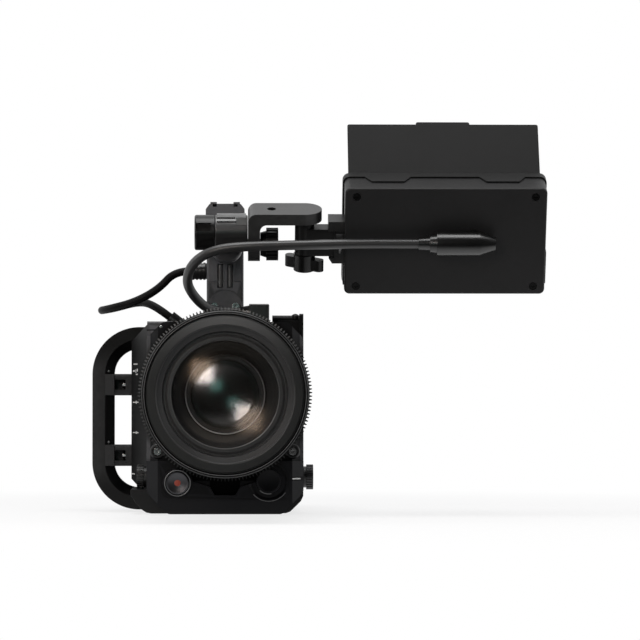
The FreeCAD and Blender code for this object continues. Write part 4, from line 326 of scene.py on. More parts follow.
BOARD = board_finish()
SCREEN = screen_finish()
print("finishes", len(bpy.data.materials))

# %% [markdown]
# ## Coated glass
# A coated lens gives back almost nothing of the light that meets it. The glasses are therefore
# nearly clear: alpha is the small share that a face gives back. What one sees are the lamps,
# mirrored twice by the group behind, upright by its front face and upside down by its back face.

# %% Glass finishes
def lens_glass(name, ior, front, back, depth, rough, tint, sheen):
    """Clear coated glass. front and back are the alpha of the two faces, depth is where they meet in metres."""
    f = Finish(name, IOR=ior, Specular_Tint=grey(1.0, sheen), Specular_IOR_Level=1.0)
    x, y, z = f.axes()
    dust = f.noise(700.0, 4.0, 0.7)
    return f.feed(Base_Color=f.shade(dust, grey(1.0, tint), grey(0.8, tint)),
                  Roughness=rough + (dust - 0.5) * 0.005, Alpha=(y > depth) * (back - front) + front)


GLASS = lens_glass("front_glass_coating", 2.0, 0.16, 0.16, -0.2435, 0.17, (0.0, 0.001, 0.001), (1.0, 0.84, 0.68))
INNER_GLASS = lens_glass("inner_glass_coating", 3.0, 0.42, 0.86, -0.2215, 0.155, (0.0002, 0.003, 0.003), NEUTRAL)

# %% [markdown]
# ## From CAD solids to finished castings
# A machined or moulded edge is never perfectly sharp, and the thin line of light along it is what
# makes a black object readable. So each solid is copied, its triangles are merged into faces, and a
# fine bevel rounds every edge. The rounded copy then stands for the CAD node.

# %% Objects, pieces and rounded edges
def add_object(name, data):
    obj = bpy.data.objects.new(name, data)
    bpy.context.collection.objects.link(obj)
    return obj


def mesh_of(name, verts, faces):
    mesh = bpy.data.meshes.new(name)
    mesh.from_pydata(verts, [], faces)
    return mesh


def evaluated(obj):
    """The mesh of an object with its modifiers applied."""
    bpy.context.view_layer.update()
    return bpy.data.meshes.new_from_object(obj.evaluated_get(bpy.context.evaluated_depsgraph_get()))


def settle(obj, angle=35.0):
    """Applies an object's modifiers, smooths it and keeps its real edges sharp."""
    made = evaluated(obj)
    obj.modifiers.clear()
    obj.data = made
    made.shade_smooth()
    made.set_sharp_from_angle(angle=math.radians(angle))
    return obj


def rounded(obj, width, segments=2, angle=35.0):
    """Rounds the edges of a piece by a bevel of this width in millimetres, and keeps its large faces flat."""
    bevel = obj.modifiers.new("edge", "BEVEL")
    bevel.width = width * MM
    bevel.segments = segments
    bevel.limit_method = "ANGLE"
    bevel.angle_limit = math.radians(angle)
    settle(obj, angle)
    obj.modifiers.new("flat", "WEIGHTED_NORMAL").keep_sharp = True
    obj.data = evaluated(obj)
    obj.modifiers.clear()
    return obj


def finish_mesh(mesh, material):
    mesh.materials.clear()
    mesh.materials.append(material)


def piece(name, mesh, body, slot, material, stands_for=()):
    """Links a mesh as a finished piece of a body. A piece given no body rides on none."""
    obj = add_object(name, mesh)
    finish_mesh(mesh, material)
    if body is not None:
        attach(obj, body)
    for node in stands_for:
        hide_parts(node)
    return obj


# %% Dress the castings and mouldings
def dress(node, material, edge):
    """A rounded copy of a CAD node in its finish. Its triangles are merged into faces first."""
    bm = bmesh.new()
    bm.from_mesh(frame["nodes"][node].data)
    bmesh.ops.remove_doubles(bm, verts=bm.verts, dist=2e-6)
    bmesh.ops.dissolve_limit(bm, angle_limit=math.radians(0.6), verts=bm.verts, edges=bm.edges)
    bm.verts.index_update()
    clean = mesh_of(node + "_clean", [v.co.copy() for v in bm.verts],
                    [[v.index for v in face.verts] for face in bm.faces])
    bm.free()
    rounded(piece(node + "_dressed", clean, node_body[node], node_slot[node], material, (node,)), edge)


DRESSED = (
    (CASE, 0.5, "body_shell base_plate"), (CASE, 0.4, "top_plate"), (CASE, 0.5, "rear_cover"),
    (PANEL, 0.45, "front_cover"), (PORT, 0.4, "port_panel"), (GUARD, 0.6, "side_guard"),
    (PLASTIC, 0.3, "display_panel"), (RUBBER, 0.3, "panel_key"), (PLASTIC, 0.3, "card_door"),
    (BOLT, 0.2, "cap_screws"), (GUARD, 0.35, "strap_lug"), (PLASTIC, 0.5, "battery_plate"),
    (PLASTIC, 0.3, "battery_latch"), (PLASTIC, 0.5, "battery"), (CASE, 0.4, "handle_post"),
    (CASE, 0.5, "handle_grip"), (RUBBER, 0.3, "handle_key"), (CLAMP, 0.35, "clamp_block"),
    (KNOB, 0.5, "lock_knob"), (ARM, 0.9, "monitor_arm"), (KNOB, 0.15, "tilt_knob"),
    (BRACKET, 0.35, "swivel_bracket"), (KNOB, 0.8, "wing_knob"), (MONITOR, 0.3, "monitor_back monitor_front"),
    (SCREW, 0.15, "monitor_screws"), (RUBBER, 0.3, "monitor_key_upper monitor_key_lower"),
    (HOOD, 0.3, "hood_frame hood_left_flap hood_right_flap hood_top_flap"), (PLUG, 0.3, "monitor_plug"),
    (PLUG, 0.5, "body_plug"), (PLUG, 0.25, "handle_cable_plugs"), (RING, 0.15, "dial_left dial_right"))
for material, edge, nodes in DRESSED:
    for node in nodes.split():
        dress(node, material, edge)
print("castings and mouldings dressed")

# %% [markdown]
# ## Pieces that stay as the CAD made them
# Some pieces are flat, hidden or deep inside the lens. Their solids are right as they are, so they
# only get a finish.

# %% Finishes for the nodes that stay
KEPT = {
    "lens_mount": BRIGHT, "zoom_group": BAFFLE, "iris_rotor": BAFFLE, "sensor_block": SINK, "fan_rotor": PLASTIC,
    "main_board": BOARD, "side_display": SCREEN, "monitor_screen": SCREEN,
}
for node, material in KEPT.items():
    finish_mesh(frame["nodes"][node].data, material)
print("kept", sorted(KEPT))

# %% [markdown]
# ## Solids from points
# The pieces that the CAD leaves plain are built here from points in millimetres: a profile spun about
# a line, or an outline run along one direction.

# %% Spun rings, prisms and blocks
def solid(name, points, faces):
    """A closed mesh of points in millimetres, merged where they touch, its normals outwards."""
    mesh = mesh_of(name, [tuple(v * MM for v in point) for point in points], faces)
    bm = bmesh.new()
    bm.from_mesh(mesh)
    bmesh.ops.remove_doubles(bm, verts=bm.verts, dist=1e-7)
    bmesh.ops.recalc_face_normals(bm, faces=bm.faces)
    bm.to_mesh(mesh)
    bm.free()
    return mesh


def spun(name, profile, steps, place):
    """A ring of revolution. place turns a radius, a distance along the axis and an angle into a point."""
    rows = len(profile)
    points = [place(radius, along, 2 * math.pi * i / steps) for i in range(steps) for radius, along in profile]
    faces = []
    for i in range(steps):
        here, there = i * rows, (i + 1) % steps * rows
        faces += [(here + j, there + j, there + (j + 1) % rows, here + (j + 1) % rows) for j in range(rows)]
    return solid(name, points, faces)


def prism(name, first, last):
    """A solid between two outlines with the same number of points."""
    n = len(first)
    sides = [(i, i + n, (i + 1) % n + n, (i + 1) % n) for i in range(n)]
    return solid(name, first + last, [tuple(range(n)), tuple(range(2 * n - 1, n - 1, -1))] + sides)


def slab(name, outline, y0, y1, material, edge=0.3):
    """A plate of the camera with an outline of (x, z) points, run along Y."""
    mesh = prism(name, [(x, y0, z) for x, z in outline], [(x, y1, z) for x, z in outline])
    obj = piece(name, mesh, "camera", "case_black", material)
    return rounded(obj, edge) if edge else settle(obj)


def block(x, y, z, taper=1.0):
    """A small block standing on the origin, narrower at its top where taper is below 1."""
    a, b = x / 2 * MM, y / 2 * MM
    low = [(-a, -b, 0), (a, -b, 0), (a, b, 0), (-a, b, 0)]
    high = [(u * taper, v, z * MM) for u, v, w in low]
    return mesh_of("block", low + high, [
        (3, 2, 1, 0), (4, 5, 6, 7), (0, 1, 5, 4), (1, 2, 6, 5), (2, 3, 7, 6), (3, 0, 4, 7)])

# %% [markdown]
# ## One tree for everything that repeats
# Gear teeth, grip ribs, scale marks and charge lamps are one shape set out again and again. One
# Geometry Nodes tree does them all: it takes a single small mesh, sets copies out round the lens
# axis or along a line, makes them real and gives them their finish.

# %% The repeating tree
def repeating_tree():
    tree = bpy.data.node_groups.new("set_out_copies", "GeometryNodeTree")
    face = tree.interface
    face.new_socket("Shape", in_out="INPUT", socket_type="NodeSocketGeometry")
    for name, kind in (("Count", "Int"), ("Radius", "Float"), ("First angle", "Float"), ("Angle step", "Float"),
                       ("First place", "Vector"), ("Place step", "Vector"), ("Finish", "Material")):
        face.new_socket(name, in_out="INPUT", socket_type="NodeSocket" + kind)
    face.new_socket("Copies", in_out="OUTPUT", socket_type="NodeSocketGeometry")
    nodes, links = tree.nodes, tree.links

    def add(kind, operation=None, **inputs):
        made = nodes.new(kind)
        if operation:
            made.operation = operation
        for key, value in inputs.items():
            links.new(value, made.inputs[int(key[1:])])
        return made.outputs[0]

    given = nodes.new("NodeGroupInput").outputs
    index = add("GeometryNodeInputIndex")
    turn = add("ShaderNodeMath", "MULTIPLY_ADD", i0=index, i1=given["Angle step"], i2=given["First angle"])
    wheel = add("ShaderNodeCombineXYZ", i0=add("ShaderNodeMath", "SINE", i0=turn),
                i2=add("ShaderNodeMath", "COSINE", i0=turn))
    rim = add("ShaderNodeVectorMath", "SCALE", i0=wheel, i3=given["Radius"])
    along = add("ShaderNodeVectorMath", "SCALE", i0=given["Place step"], i3=index)
    start = add("ShaderNodeVectorMath", "ADD", i0=given["First place"], i1=along)
    place = add("ShaderNodeVectorMath", "ADD", i0=start, i1=rim)
    points = add("GeometryNodePoints", i0=given["Count"], i1=place)
    copies = add("GeometryNodeInstanceOnPoints", i0=points, i2=given["Shape"], i5=add("ShaderNodeCombineXYZ", i1=turn))
    finished = add("GeometryNodeSetMaterial", i0=add("GeometryNodeRealizeInstances", i0=copies), i2=given["Finish"])
    links.new(finished, nodes.new("NodeGroupOutput").inputs[0])
    return tree


REPEAT = repeating_tree()


def set_out(name, shape, body, slot, material, count, radius=0.0, first=0.0, step=None, place=(0, 0, 0),
            along=(0, 0, 0), stands_for=()):
    """Copies of a small mesh round the lens axis or along a line, as one finished piece."""
    obj = piece(name, shape, body, slot, material, stands_for)
    modifier = obj.modifiers.new("copies", "NODES")
    modifier.node_group = REPEAT
    step = 360.0 / count if step is None else step
    values = {"Count": count, "Radius": radius * MM, "First angle": math.radians(first),
              "Angle step": math.radians(step), "First place": [v * MM for v in place],
              "Place step": [v * MM for v in along], "Finish": material}
    for item in REPEAT.interface.items_tree:
        if item.item_type == "SOCKET" and item.name in values:
            modifier[item.identifier] = values[item.name]
    return settle(obj, 30.0)

# %% [markdown]
# ## Turned parts of the lens
# Every round piece of the lens is a profile spun about the optical axis, in 256 steps and with the
# small chamfers and grooves that catch the light.

# %% Spin a profile about a line along Y
def lathe(name, profile, body, slot, material, stands_for=(), y0=0.0, steps=256, edge=0.0, centre=(0.0, AXIS_Z)):
    """A ring of revolution about a line along Y. The profile is a list of (radius, y - y0) in millimetres."""
    mesh = spun(name, profile, steps, lambda radius, y, angle: (
        centre[0] + radius * math.sin(angle), y0 + y, centre[1] + radius * math.cos(angle)))
    obj = piece(name, mesh, body, slot, material, stands_for)
    return rounded(obj, edge, 3, 25.0) if edge else settle(obj, 25.0)


def barrel_part(name, profile, material, *nodes, y0=0.0, edge=0.12):
    """A turned piece of the fixed barrel."""
    lathe(name, profile, "camera", "lens_black", material, nodes, y0, edge=edge)


FRONT_Y = -264.0
barrel_part("front_ring_body", [
    (50, 5.4), (50, 0.8), (48.3, 0.15), (48.8, 0), (53.8, 0), (53.8, 1.2), (54.8, 1.2), (54.8, 18), (50, 18)],
    FRONT, "lens_front_ring", y0=FRONT_Y, edge=0.1)
# The rim is painted near black, a painted shade.
barrel_part("front_ring_rim", [(54.8, 1.2), (54.8, 0), (55.3, 0), (57, 1.6), (57, 18), (54.8, 18)],
            RIM, "lens_front_ring", y0=FRONT_Y)
barrel_part("front_ring_funnel", [
    (48.3, 0.3), (50, 0.9), (50, 30), (37, 30), (37, 27), (40.15, 27), (40.15, 12.8), (41.4, 12.8), (41.4, 11),
    (42.8, 11), (43.8, 7), (47.5, 5), (47.5, 0.8)], BAND, "lens_front_ring", y0=FRONT_Y)
barrel_part("front_retaining_ring", [
    (37.3, 10.4), (37.9, 9.6), (40.0, 9.6), (41.4, 10.4), (41.4, 12.8), (37.3, 12.8)],
    RETAINER, "lens_front_ring", y0=FRONT_Y, edge=0.1)
# front_lip and rim_lip are thin rings painted bright, painted highlights.
barrel_part("front_lip", [(37.2, 10.4), (37.5, 9.5), (37.9, 9.4), (38.2, 9.8)], FRONT_LIP, y0=FRONT_Y, edge=0.0)
barrel_part("rim_lip", [(55.7, 0.6), (55.85, 0.2), (56.1, 0.3), (56.3, 1.0)], FRONT_LIP, y0=FRONT_Y, edge=0.0)
print("front ring spun")

# %% [markdown]
# ## The toothed rings
# Motor and hand gears mesh with these rings, so their teeth have a standard pitch of 0.8 module:
# 150 teeth make a pitch circle of 120 mm. One tooth is modelled as a small tapered block, and the
# repeating tree sets it out. The grip ribs beside the gear are longer blocks of the same kind.

# %% A control ring: turned body, gear teeth and grip ribs
TEETH, TOOTH_H, GEAR_W = 150, 1.76, 10.0
PITCH_R, GRIP_R, BORE_R = 60.0, 58.2, 54.08
GAP, LAND, RIM_W = 0.3, 1.5, 3.0  # to the next ring, beside the gear, and at the ring's ends


def control_ring(name, y, length, gear):
    """A ring from y over its length. Its gear stands that far behind y, with a grip before and behind."""
    start, end, gear_y = y + GAP, y + length - GAP, y + gear
    low, root = GRIP_R - 0.9, PITCH_R - 0.96
    gear0, gear1 = gear_y - GEAR_W / 2, gear_y + GEAR_W / 2
    lathe(name + "_body", [
        (BORE_R, start), (GRIP_R - 0.5, start), (GRIP_R, start + 0.5), (GRIP_R, start + RIM_W), (low, start + RIM_W),
        (low, gear0 - LAND), (GRIP_R, gear0 - LAND), (GRIP_R, gear0), (root - 0.4, gear0), (root - 0.4, gear1),
        (GRIP_R, gear1), (GRIP_R, gear1 + LAND), (low, gear1 + LAND), (low, end - RIM_W), (GRIP_R, end - RIM_W),
        (GRIP_R, end - 0.5), (GRIP_R - 0.5, end), (BORE_R, end)], name, "ring_black", RING, (name,), edge=0.15)
    # The root is painted near black between the teeth and the teeth are painted bright, as painted shade and painted
    # highlight.
    lathe(name + "_root", [(root - 1.0, gear0), (root, gear0), (root, gear1), (root - 1.0, gear1)],
          name, "ring_black", GEAR, (name,))
    tooth = block(1.55, GEAR_W, TOOTH_H + 0.2, 0.42)
    set_out(name + "_teeth", tooth, name, "ring_black", TOOTH, TEETH, root - 0.2,
            place=(0, gear_y, AXIS_Z), stands_for=(name,))
    for part, y0, y1 in (("front", start + RIM_W, gear0 - LAND), ("rear", gear1 + LAND, end - RIM_W)):
        if y1 - y0 > 3.0:
            rib = block(5.6, y1 - y0, 1.1, 0.9)
            set_out(name + "_grip_" + part, rib, name, "ring_black", RING, 40, low - 0.2,
                    place=(0, (y0 + y1) / 2, AXIS_Z), stands_for=(name,))


FOCUS_Y, MID_Y, ZOOM_Y, COLLAR_Y, IRIS_Y, REAR_Y = -246.0, -206.0, -170.0, -132.0, -126.0, -100.0
control_ring("focus_ring", FOCUS_Y, 40.0, 17.0)
control_ring("zoom_ring", ZOOM_Y, 38.0, 12.0)
control_ring("iris_ring", IRIS_Y, 26.0, 13.0)
print("three rings with", TEETH, "teeth each")

# %% [markdown]
# ## The fixed barrel and the sliding cells
# Between the rings stand two fixed collars that carry the index marks. Inside, cells of black
# aluminium hold the glass. The front of each cell is a stepped funnel that traps stray light.

# %% Barrel, collars and cells
barrel_part("barrel_tube", [
    (50, FOCUS_Y), (54, FOCUS_Y), (54, REAR_Y), (56.4, REAR_Y), (57, REAR_Y + 0.6), (57, REAR_Y + 8), (51, REAR_Y + 18),
    (46, REAR_Y + 26), (44, -64), (32.5, -64), (32.5, -78), (50, -86)], FRONT, "lens_barrel", edge=0.15)
for name, y, end in (("middle_collar", MID_Y, MID_Y + 36.0), ("rear_collar", COLLAR_Y, COLLAR_Y + 6.0)):
    barrel_part(name, [(54, y), (56.2, y), (57, y + 0.8), (57, end - 0.8), (56.2, end), (54, end)],
                FRONT, "lens_collars")
CELL_Y = FRONT_Y + 34.0
lathe("focus_cell_funnel", [
    (49.92, 0), (49.92, 16), (23.1, 16), (23.1, 14), (25.1, 14), (25.1, 7), (29, 7), (29, 6), (31.2, 4.6), (31.2, 4.2),
    (33.6, 2.6), (33.6, 2.2), (36.6, 0)], "focus_group", "lens_black", CONE, ("focus_cell",), CELL_Y, edge=0.08)
lathe("focus_cell_retainer", [(24.2, 3.4), (24.9, 2.6), (26.6, 2.6), (28.8, 4.6), (28.8, 7), (24.2, 7)],
      "focus_group", "lens_black", RETAINER, ("focus_cell",), CELL_Y, edge=0.12)
# A thin ring painted bright towards the bottom, a painted highlight.
lathe("focus_cell_lip", [(27.2, 3.3), (27.4, 2.5), (27.9, 2.7), (28.2, 4.3)],
      "focus_group", "lens_black", LIP, y0=CELL_Y)
print("barrel, collars and focus cell spun")

# %% Domed glasses
def dome(radius, sphere, y, sign=1.0):
    """The profile of a spherical face, from the axis to the rim. sign is 1 for a bulge to the front."""
    steps = [radius * i / 24 for i in range(25)]
    return [(r, y + sign * (sphere - math.sqrt(sphere * sphere - r * r))) for r in steps]


GLASS_Y = FRONT_Y + 7.0
lathe("front_glass_dome", dome(39.9, 92.0, GLASS_Y) + dome(39.9, 92.0, GLASS_Y + 19.6, -1.0)[::-1],
      "camera", "lens_glass", GLASS, ("front_glass",), steps=128)
lathe("focus_glass_dome", dome(24.9, 93.0, CELL_Y + 4.5) + [(24.9, CELL_Y + 10.6), (20.2, CELL_Y + 10.6)] + dome(
    20.0, 70.0, CELL_Y + 13.7, -1.0)[::-1], "focus_group", "lens_glass", INNER_GLASS, ("focus_glass",), steps=128)
print("two glasses")

# %% [markdown]
# ## Marks on the rings
# Distances are read where the ring meets the fixed collar, so numbers run round the collar. Each
# number is a text curve made a mesh, then bent round the barrel: across the text becomes an angle,
# up the text becomes a place along the lens.

# %% Numbers and ticks
INK_LIFT = 0.05  # flat marks stand this far off their surface
COLLAR_R = 57.0
MARK_R = COLLAR_R + INK_LIFT


def bent_numbers(name, labels, y, first, step, size=3.4):
    """Numbers set round the lens axis, their tops towards the front."""
    verts, faces = [], []
    for i, label in enumerate(labels.split()):
        curve = bpy.data.curves.new("label", "FONT")
        curve.body, curve.size, curve.align_x = label, size, "CENTER"
        text = add_object("label", curve)
        flat = evaluated(text)
        offset = len(verts)
        middle = math.radians(first + step * i)
        for v in flat.vertices:
            angle = middle + v.co.x / MARK_R
            verts.append((MARK_R * math.sin(angle) * MM, (y - v.co.y) * MM, (AXIS_Z + MARK_R * math.cos(angle)) * MM))
        faces += [[offset + k for k in polygon.vertices] for polygon in flat.polygons]
        bpy.data.objects.remove(text)
        bpy.data.meshes.remove(flat)
        bpy.data.curves.remove(curve)
    mesh = mesh_of(name, verts, faces)
    bm = bmesh.new()
    bm.from_mesh(mesh)
    for face in bm.faces:
        middle = face.calc_center_median()
        if face.normal.dot(Vector((middle.x, 0, middle.z - AXIS))) < 0:
            face.normal_flip()
    bm.to_mesh(mesh)
    bm.free()
    piece(name, mesh, "camera", "lens_black", WHITE)


bent_numbers("focus_numbers", "0.9 1 1.1 1.2 1.4 1.6 1.8 2 2.5 3 3.5 4 5 7 10 15 30", MID_Y + 9.0, -150, 15)
bent_numbers("zoom_numbers", "25 30 35 40 50 60 70 80 90 100", ZOOM_Y - 4.0, -45, 10)
bent_numbers("iris_numbers", "2.8 4 5.6 8 11 16 22", COLLAR_Y + 4.6, -110, 12, 3.0)
for name, length, y, count, first, step, material in (
        ("focus_ticks", 1.6, MID_Y + 2.6, 101, -155, 3, WHITE), ("zoom_ticks", 1.2, ZOOM_Y - 2.0, 37, -45, 2.5, WHITE),
        ("middle_ticks", 1.6, MID_Y + 18.0, 61, 30, 3, AMBER)):
    set_out(name, block(0.28, length, 0.04), "camera", "lens_black", material, count, COLLAR_R, first, step,
            place=(0, y, AXIS_Z))
set_out("ring_index_marks", block(0.5, 3.0, 0.05), "camera", "lens_black", RED, 2, COLLAR_R, -90, 90,
        place=(0, MID_Y + 2.4, AXIS_Z))
print("numbers and ticks")

# %% [markdown]
# ## The chin of the camera
# Below the lens the front cover carries the record button, the lens release and a notch, whose dark is a
# near-black sheet as painted shade. The button is a shallow metal dish. Its lettering is replaced by a plain red dot.

# %% Record button, release, bosses and the notch's painted shade
CHIN_Y = -68.0
RECORD, RELEASE, SHOULDER = (-35.3, 23.2), (32.4, 24.9), (50.2, 46.6)  # places on X and Z


def disc_profile(radius, hollow):
    """A button's front: a shallow hollow inside a rounded rim."""
    points = [(radius * 0.84 * i / 10, hollow * (1 - (i / 10) ** 2)) for i in range(11)]
    return points + [(radius * 0.9, -0.05), (radius * 0.97, 0.25), (radius, 0.9), (radius, 6.0), (0.0, 6.0)]


lathe("record_button", disc_profile(8.6, 1.1), "rec_button", "button_grey", BUTTON, ("rec_button",), CHIN_Y - 2.0,
      steps=96, centre=RECORD)
lathe("record_dot", [(0, -1.15), (1.2, -1.15), (2.1, -1.12), (2.4, -1.0), (2.4, -0.8), (0, -0.8)],
      "rec_button", "button_grey", RED, y0=CHIN_Y, steps=48, centre=RECORD)
lathe("record_bezel", [(8.75, -1.2), (9.4, -1.9), (10.3, -1.6), (11.0, -0.7), (11.4, 0.2), (8.75, 0.2)],
      "camera", "case_black", PANEL, y0=CHIN_Y, steps=96, edge=0.1, centre=RECORD)
lathe("release_dome", disc_profile(9.2, 0.9), "release_button", "button_grey", PANEL, ("release_button",), CHIN_Y,
      steps=96, centre=RELEASE)
for side, word in SIDES:
    lathe("shoulder_boss_" + word, [
        (3.1, -62.6), (3.6, -63.2), (4.8, -63.2), (5.6, -62.4), (5.8, -62), (3.1, -62)],
        "camera", "case_black", KNOB, steps=64, edge=0.1, centre=(side * SHOULDER[0], SHOULDER[1]))
# A near-black sheet in the notch, a painted shade.
slab("notch_shade_sheet", [(-7.5, 14.2), (7.5, 14.2), (11.0, 20.3), (11.4, 24.7), (25.0, 24.7), (25.0, 39.4), (-25.0, 39.4),
                      (-25.0, 24.7), (-11.4, 24.7), (-11.0, 20.3)], -63.12, -63.02, NOTCH_SHADE, edge=0.0)
print("record button, release, bosses and the dark notch")

# %% [markdown]
# ## The sockets at the side
# The port panel has three round sockets for video plugs. Each has a bright metal sleeve, a white
# insulator and a gilt pin in the middle.

# %% Sockets along X
PORT_X, PORT_Y = -71.3, 44.0
SOCKET_FLOOR = PORT_X + 3.0
SOCKET = (
    ("sleeve", BRIGHT, [(3.5, -0.2), (3.5, 2.2), (3.7, 2.5), (4.6, 2.5), (4.85, 2.2), (4.85, -0.2)]),
    ("core", WHITE, [(0, 0), (0, 1.6), (2.6, 1.6), (2.9, 1.3), (2.9, 0)]),
    ("pin", GOLD, [(0, 1.5), (0, 2.3), (0.5, 2.3), (0.7, 2.1), (0.7, 1.5)]))


def socket_part(name, profile, z, material):
    """A ring of revolution about a line along X. The profile is a list of (radius, distance out)."""
    mesh = spun(name, profile, 64, lambda radius, out, angle: (
        SOCKET_FLOOR - out, PORT_Y + radius * math.cos(angle), z + radius * math.sin(angle)))
    settle(piece(name, mesh, "camera", "steel", material), 30.0)


for number, z in enumerate((112.0, 88.0, 64.0)):
    for word, material, profile in SOCKET:
        socket_part("socket_%s_%d" % (word, number), profile, z, material)
print("three sockets")

# %% Marks beside the sockets, on the right bevel and on the left shoulder
def bar_mark(name, corners, material):
    """A flat mark given by four corners in millimetres, lifted off its surface by its own points: print, or a dark bar
    that paints the shade of a slot.
    """
    mesh = mesh_of(name, [tuple(v * MM for v in c) for c in corners], [(0, 1, 2, 3)])
    obj = piece(name, mesh, "camera", "case_black", material)
    ink_layer = obj.modifiers.new("ink", "SOLIDIFY")
    ink_layer.thickness = 0.04 * MM
    ink_layer.offset = 1.0
    settle(obj)


def lean_point(share, z):
    """A point just off the port panel's leaning front face; share runs from the body outwards."""
    x0, y0, x1, y1 = -58.5, -27.0, PORT_X, 4.0
    length = math.hypot(x1 - x0, y1 - y0)
    lift = INK_LIFT / length
    return (x0 + (x1 - x0) * share - (y1 - y0) * lift, y0 + (y1 - y0) * share + (x1 - x0) * lift, z)


for index, (z, low, high, tall) in enumerate((
        (112.0, 0.62, 0.86, 0.9), (107.4, 0.60, 0.66, 2.2), (106.6, 0.70, 0.74, 2.8), (106.8, 0.78, 0.90, 1.2),
        (104.2, 0.60, 0.72, 0.8), (83.0, 0.55, 0.90, 0.7), (83.0, 0.66, 0.72, 2.0), (60.0, 0.55, 0.90, 0.7),
        (60.0, 0.66, 0.72, 2.0), (28.6, 0.78, 0.97, 0.8))):
    bar_mark("port_mark_%d" % index, [lean_point(share, z + up * tall / 2)
                                      for share, up in ((low, -1), (low, 1), (high, 1), (high, -1))], WHITE)

BEVEL_FRONT, BEVEL_REAR, MARK_Z = (50.0, -68.0), (58.5, -59.0), 26.3
# index_slot is a flat dark bar, a painted shade standing for a slot; index_mark is print.
for name, material, half, reach, lift in (
        ("index_slot", DARK, 1.5, 0.98, 0.028), ("index_mark", WHITE, 0.45, 0.72, 0.084)):
    (x0, y0), (x1, y1) = BEVEL_FRONT, BEVEL_REAR
    bar_mark(name, [(x0 + (x1 - x0) * share + lift, y0 + (y1 - y0) * share - lift, MARK_Z + up)
                    for share, up in ((0.0, -half), (reach, -half), (reach, half), (0.0, half))], material)
# A flat dark bar for a slot on the left shoulder, a painted shade.
bar_mark("shoulder_slot", [(-50.05, -62.05, 136.5), (-50.05, -62.05, 137.5), (-58.55, -53.05, 137.5),
                           (-58.55, -53.05, 136.5)], DARK)
lathe("shoulder_pin", [(0, -62.5), (0.9, -62.4), (1.2, -62.0), (0, -62.0)], "camera", "steel", BRIGHT, steps=32,
      centre=(-47.7, 139.4))
print("printed marks")

# %% [markdown]
# ## Cables
# A cable is a length of something flexible, so its line is one smooth curve through a few points,
# and its section is round. The monitor's cable is cut in two tubes at the arm, because it bends where
# the arm tilts and again where the monitor swivels.

# %% Routes and tubes
TILT = math.radians(23.0)
TILT_Y, TILT_Z = -80.0, 200.3


def tilted(x, y, z):
    """A point that was drawn upright about the tilt axis, in millimetres of the row frame."""
    return (x, TILT_Y + y * math.cos(TILT) - z * math.sin(TILT), TILT_Z + y * math.sin(TILT) + z * math.cos(TILT))


MONITOR_ROUTE = [
    tilted(141.9, -23.3, 9.1), tilted(129.9, -23.3, 9.1), (96.0, -105.4, 199.6), (50.0, -106.0, 198.4),
    (14.0, -106.0, 197.6), (-9.0, -104.0, 195.0), (-24.0, -97.0, 186.0), (-29.0, -86.0, 173.0), (-24.0, -73.0, 162.5),
    (-14.0, -58.5, 153.0), (-1.0, -48.0, 150.2), (11.5, -48.0, 150.2)]
LEAN = math.radians(-52.0)


def along_plug(distance):
    """A point on the axis of the handle cable's leaning plug, counted from the body."""
    return (-36.0 + distance * math.sin(LEAN), -8.0, 143.0 + distance * math.cos(LEAN))


HANDLE_ROUTE = [
    (-25.9, -24.0, 182.0), (-37.9, -24.0, 182.0), (-50.0, -24.5, 168.5), (-68.0, -25.0, 158.5), (-88.0, -19.0, 153.5),
    (-96.0, -1.0, 152.5), (-84.0, 16.0, 155.0), (-66.0, 12.0, 160.0), along_plug(22.5), along_plug(7.5)]


def route_points(points):
    """The points of the smooth spline whose control points are the route."""
    curve = bpy.data.curves.new("route", "CURVE")
    curve.dimensions = "3D"
    curve.resolution_u = 16
    spline = curve.splines.new("NURBS")
    spline.points.add(len(points) - 1)
    for target, point in zip(spline.points, points):
        target.co = (point[0] * MM, point[1] * MM, point[2] * MM, 1.0)
    spline.order_u = 3
    spline.use_endpoint_u = True
    obj = add_object("route", curve)
    line = evaluated(obj)
    found = [v.co.copy() for v in line.vertices]
    bpy.data.objects.remove(obj)
    bpy.data.meshes.remove(line)
    bpy.data.curves.remove(curve)
    return found


def tube(name, line, diameter, body, slot, material, sides=24):
    """A closed tube along a line of points in metres. Its section turns as little as it can on the way."""
    verts, side = [], None
    for i, point in enumerate(line):
        ahead = (line[min(i + 1, len(line) - 1)] - line[max(i - 1, 0)]).normalized()
        if side is None:
            side = ahead.orthogonal().normalized()
        side = (side - ahead * side.dot(ahead)).normalized()
        other = ahead.cross(side)
        for k in range(sides):
            angle = 2 * math.pi * k / sides
            verts.append(point + (side * math.cos(angle) + other * math.sin(angle)) * diameter / 2 * MM)
    last = (len(line) - 1) * sides
    faces = [(i + k, i + (k + 1) % sides, i + (k + 1) % sides + sides, i + k + sides)
             for i in range(0, last, sides) for k in range(sides)]
    faces += [tuple(range(sides - 1, -1, -1)), tuple(range(last, last + sides))]
    return settle(piece(name, mesh_of(name, verts, faces), body, slot, material), 60.0)


def path_length(line):
    return sum((b - a).length for a, b in zip(line, line[1:]))


CABLE_D, LEAD_D, CUT_X = 7.2, 6.0, 50.0
whole = route_points(MONITOR_ROUTE)
cut = min(range(len(whole)), key=lambda i: abs(whole[i].x - CUT_X * MM))
swivel_part, tilt_part = whole[:cut + 1][::-1], whole[cut:][::-1]
tilt_tube = tube("monitor_cable_lower", tilt_part, CABLE_D, None, "rubber_black", CABLE)
swivel_tube = tube("monitor_cable_upper", swivel_part, CABLE_D, None, "rubber_black", CABLE)
handle_line = route_points(HANDLE_ROUTE)
handle_tube = tube("handle_cable_tube", handle_line, LEAD_D, "camera", "rubber_black", LEAD)
print("cable lengths", [round(path_length(line), 3) for line in (tilt_part, swivel_part, handle_line)])

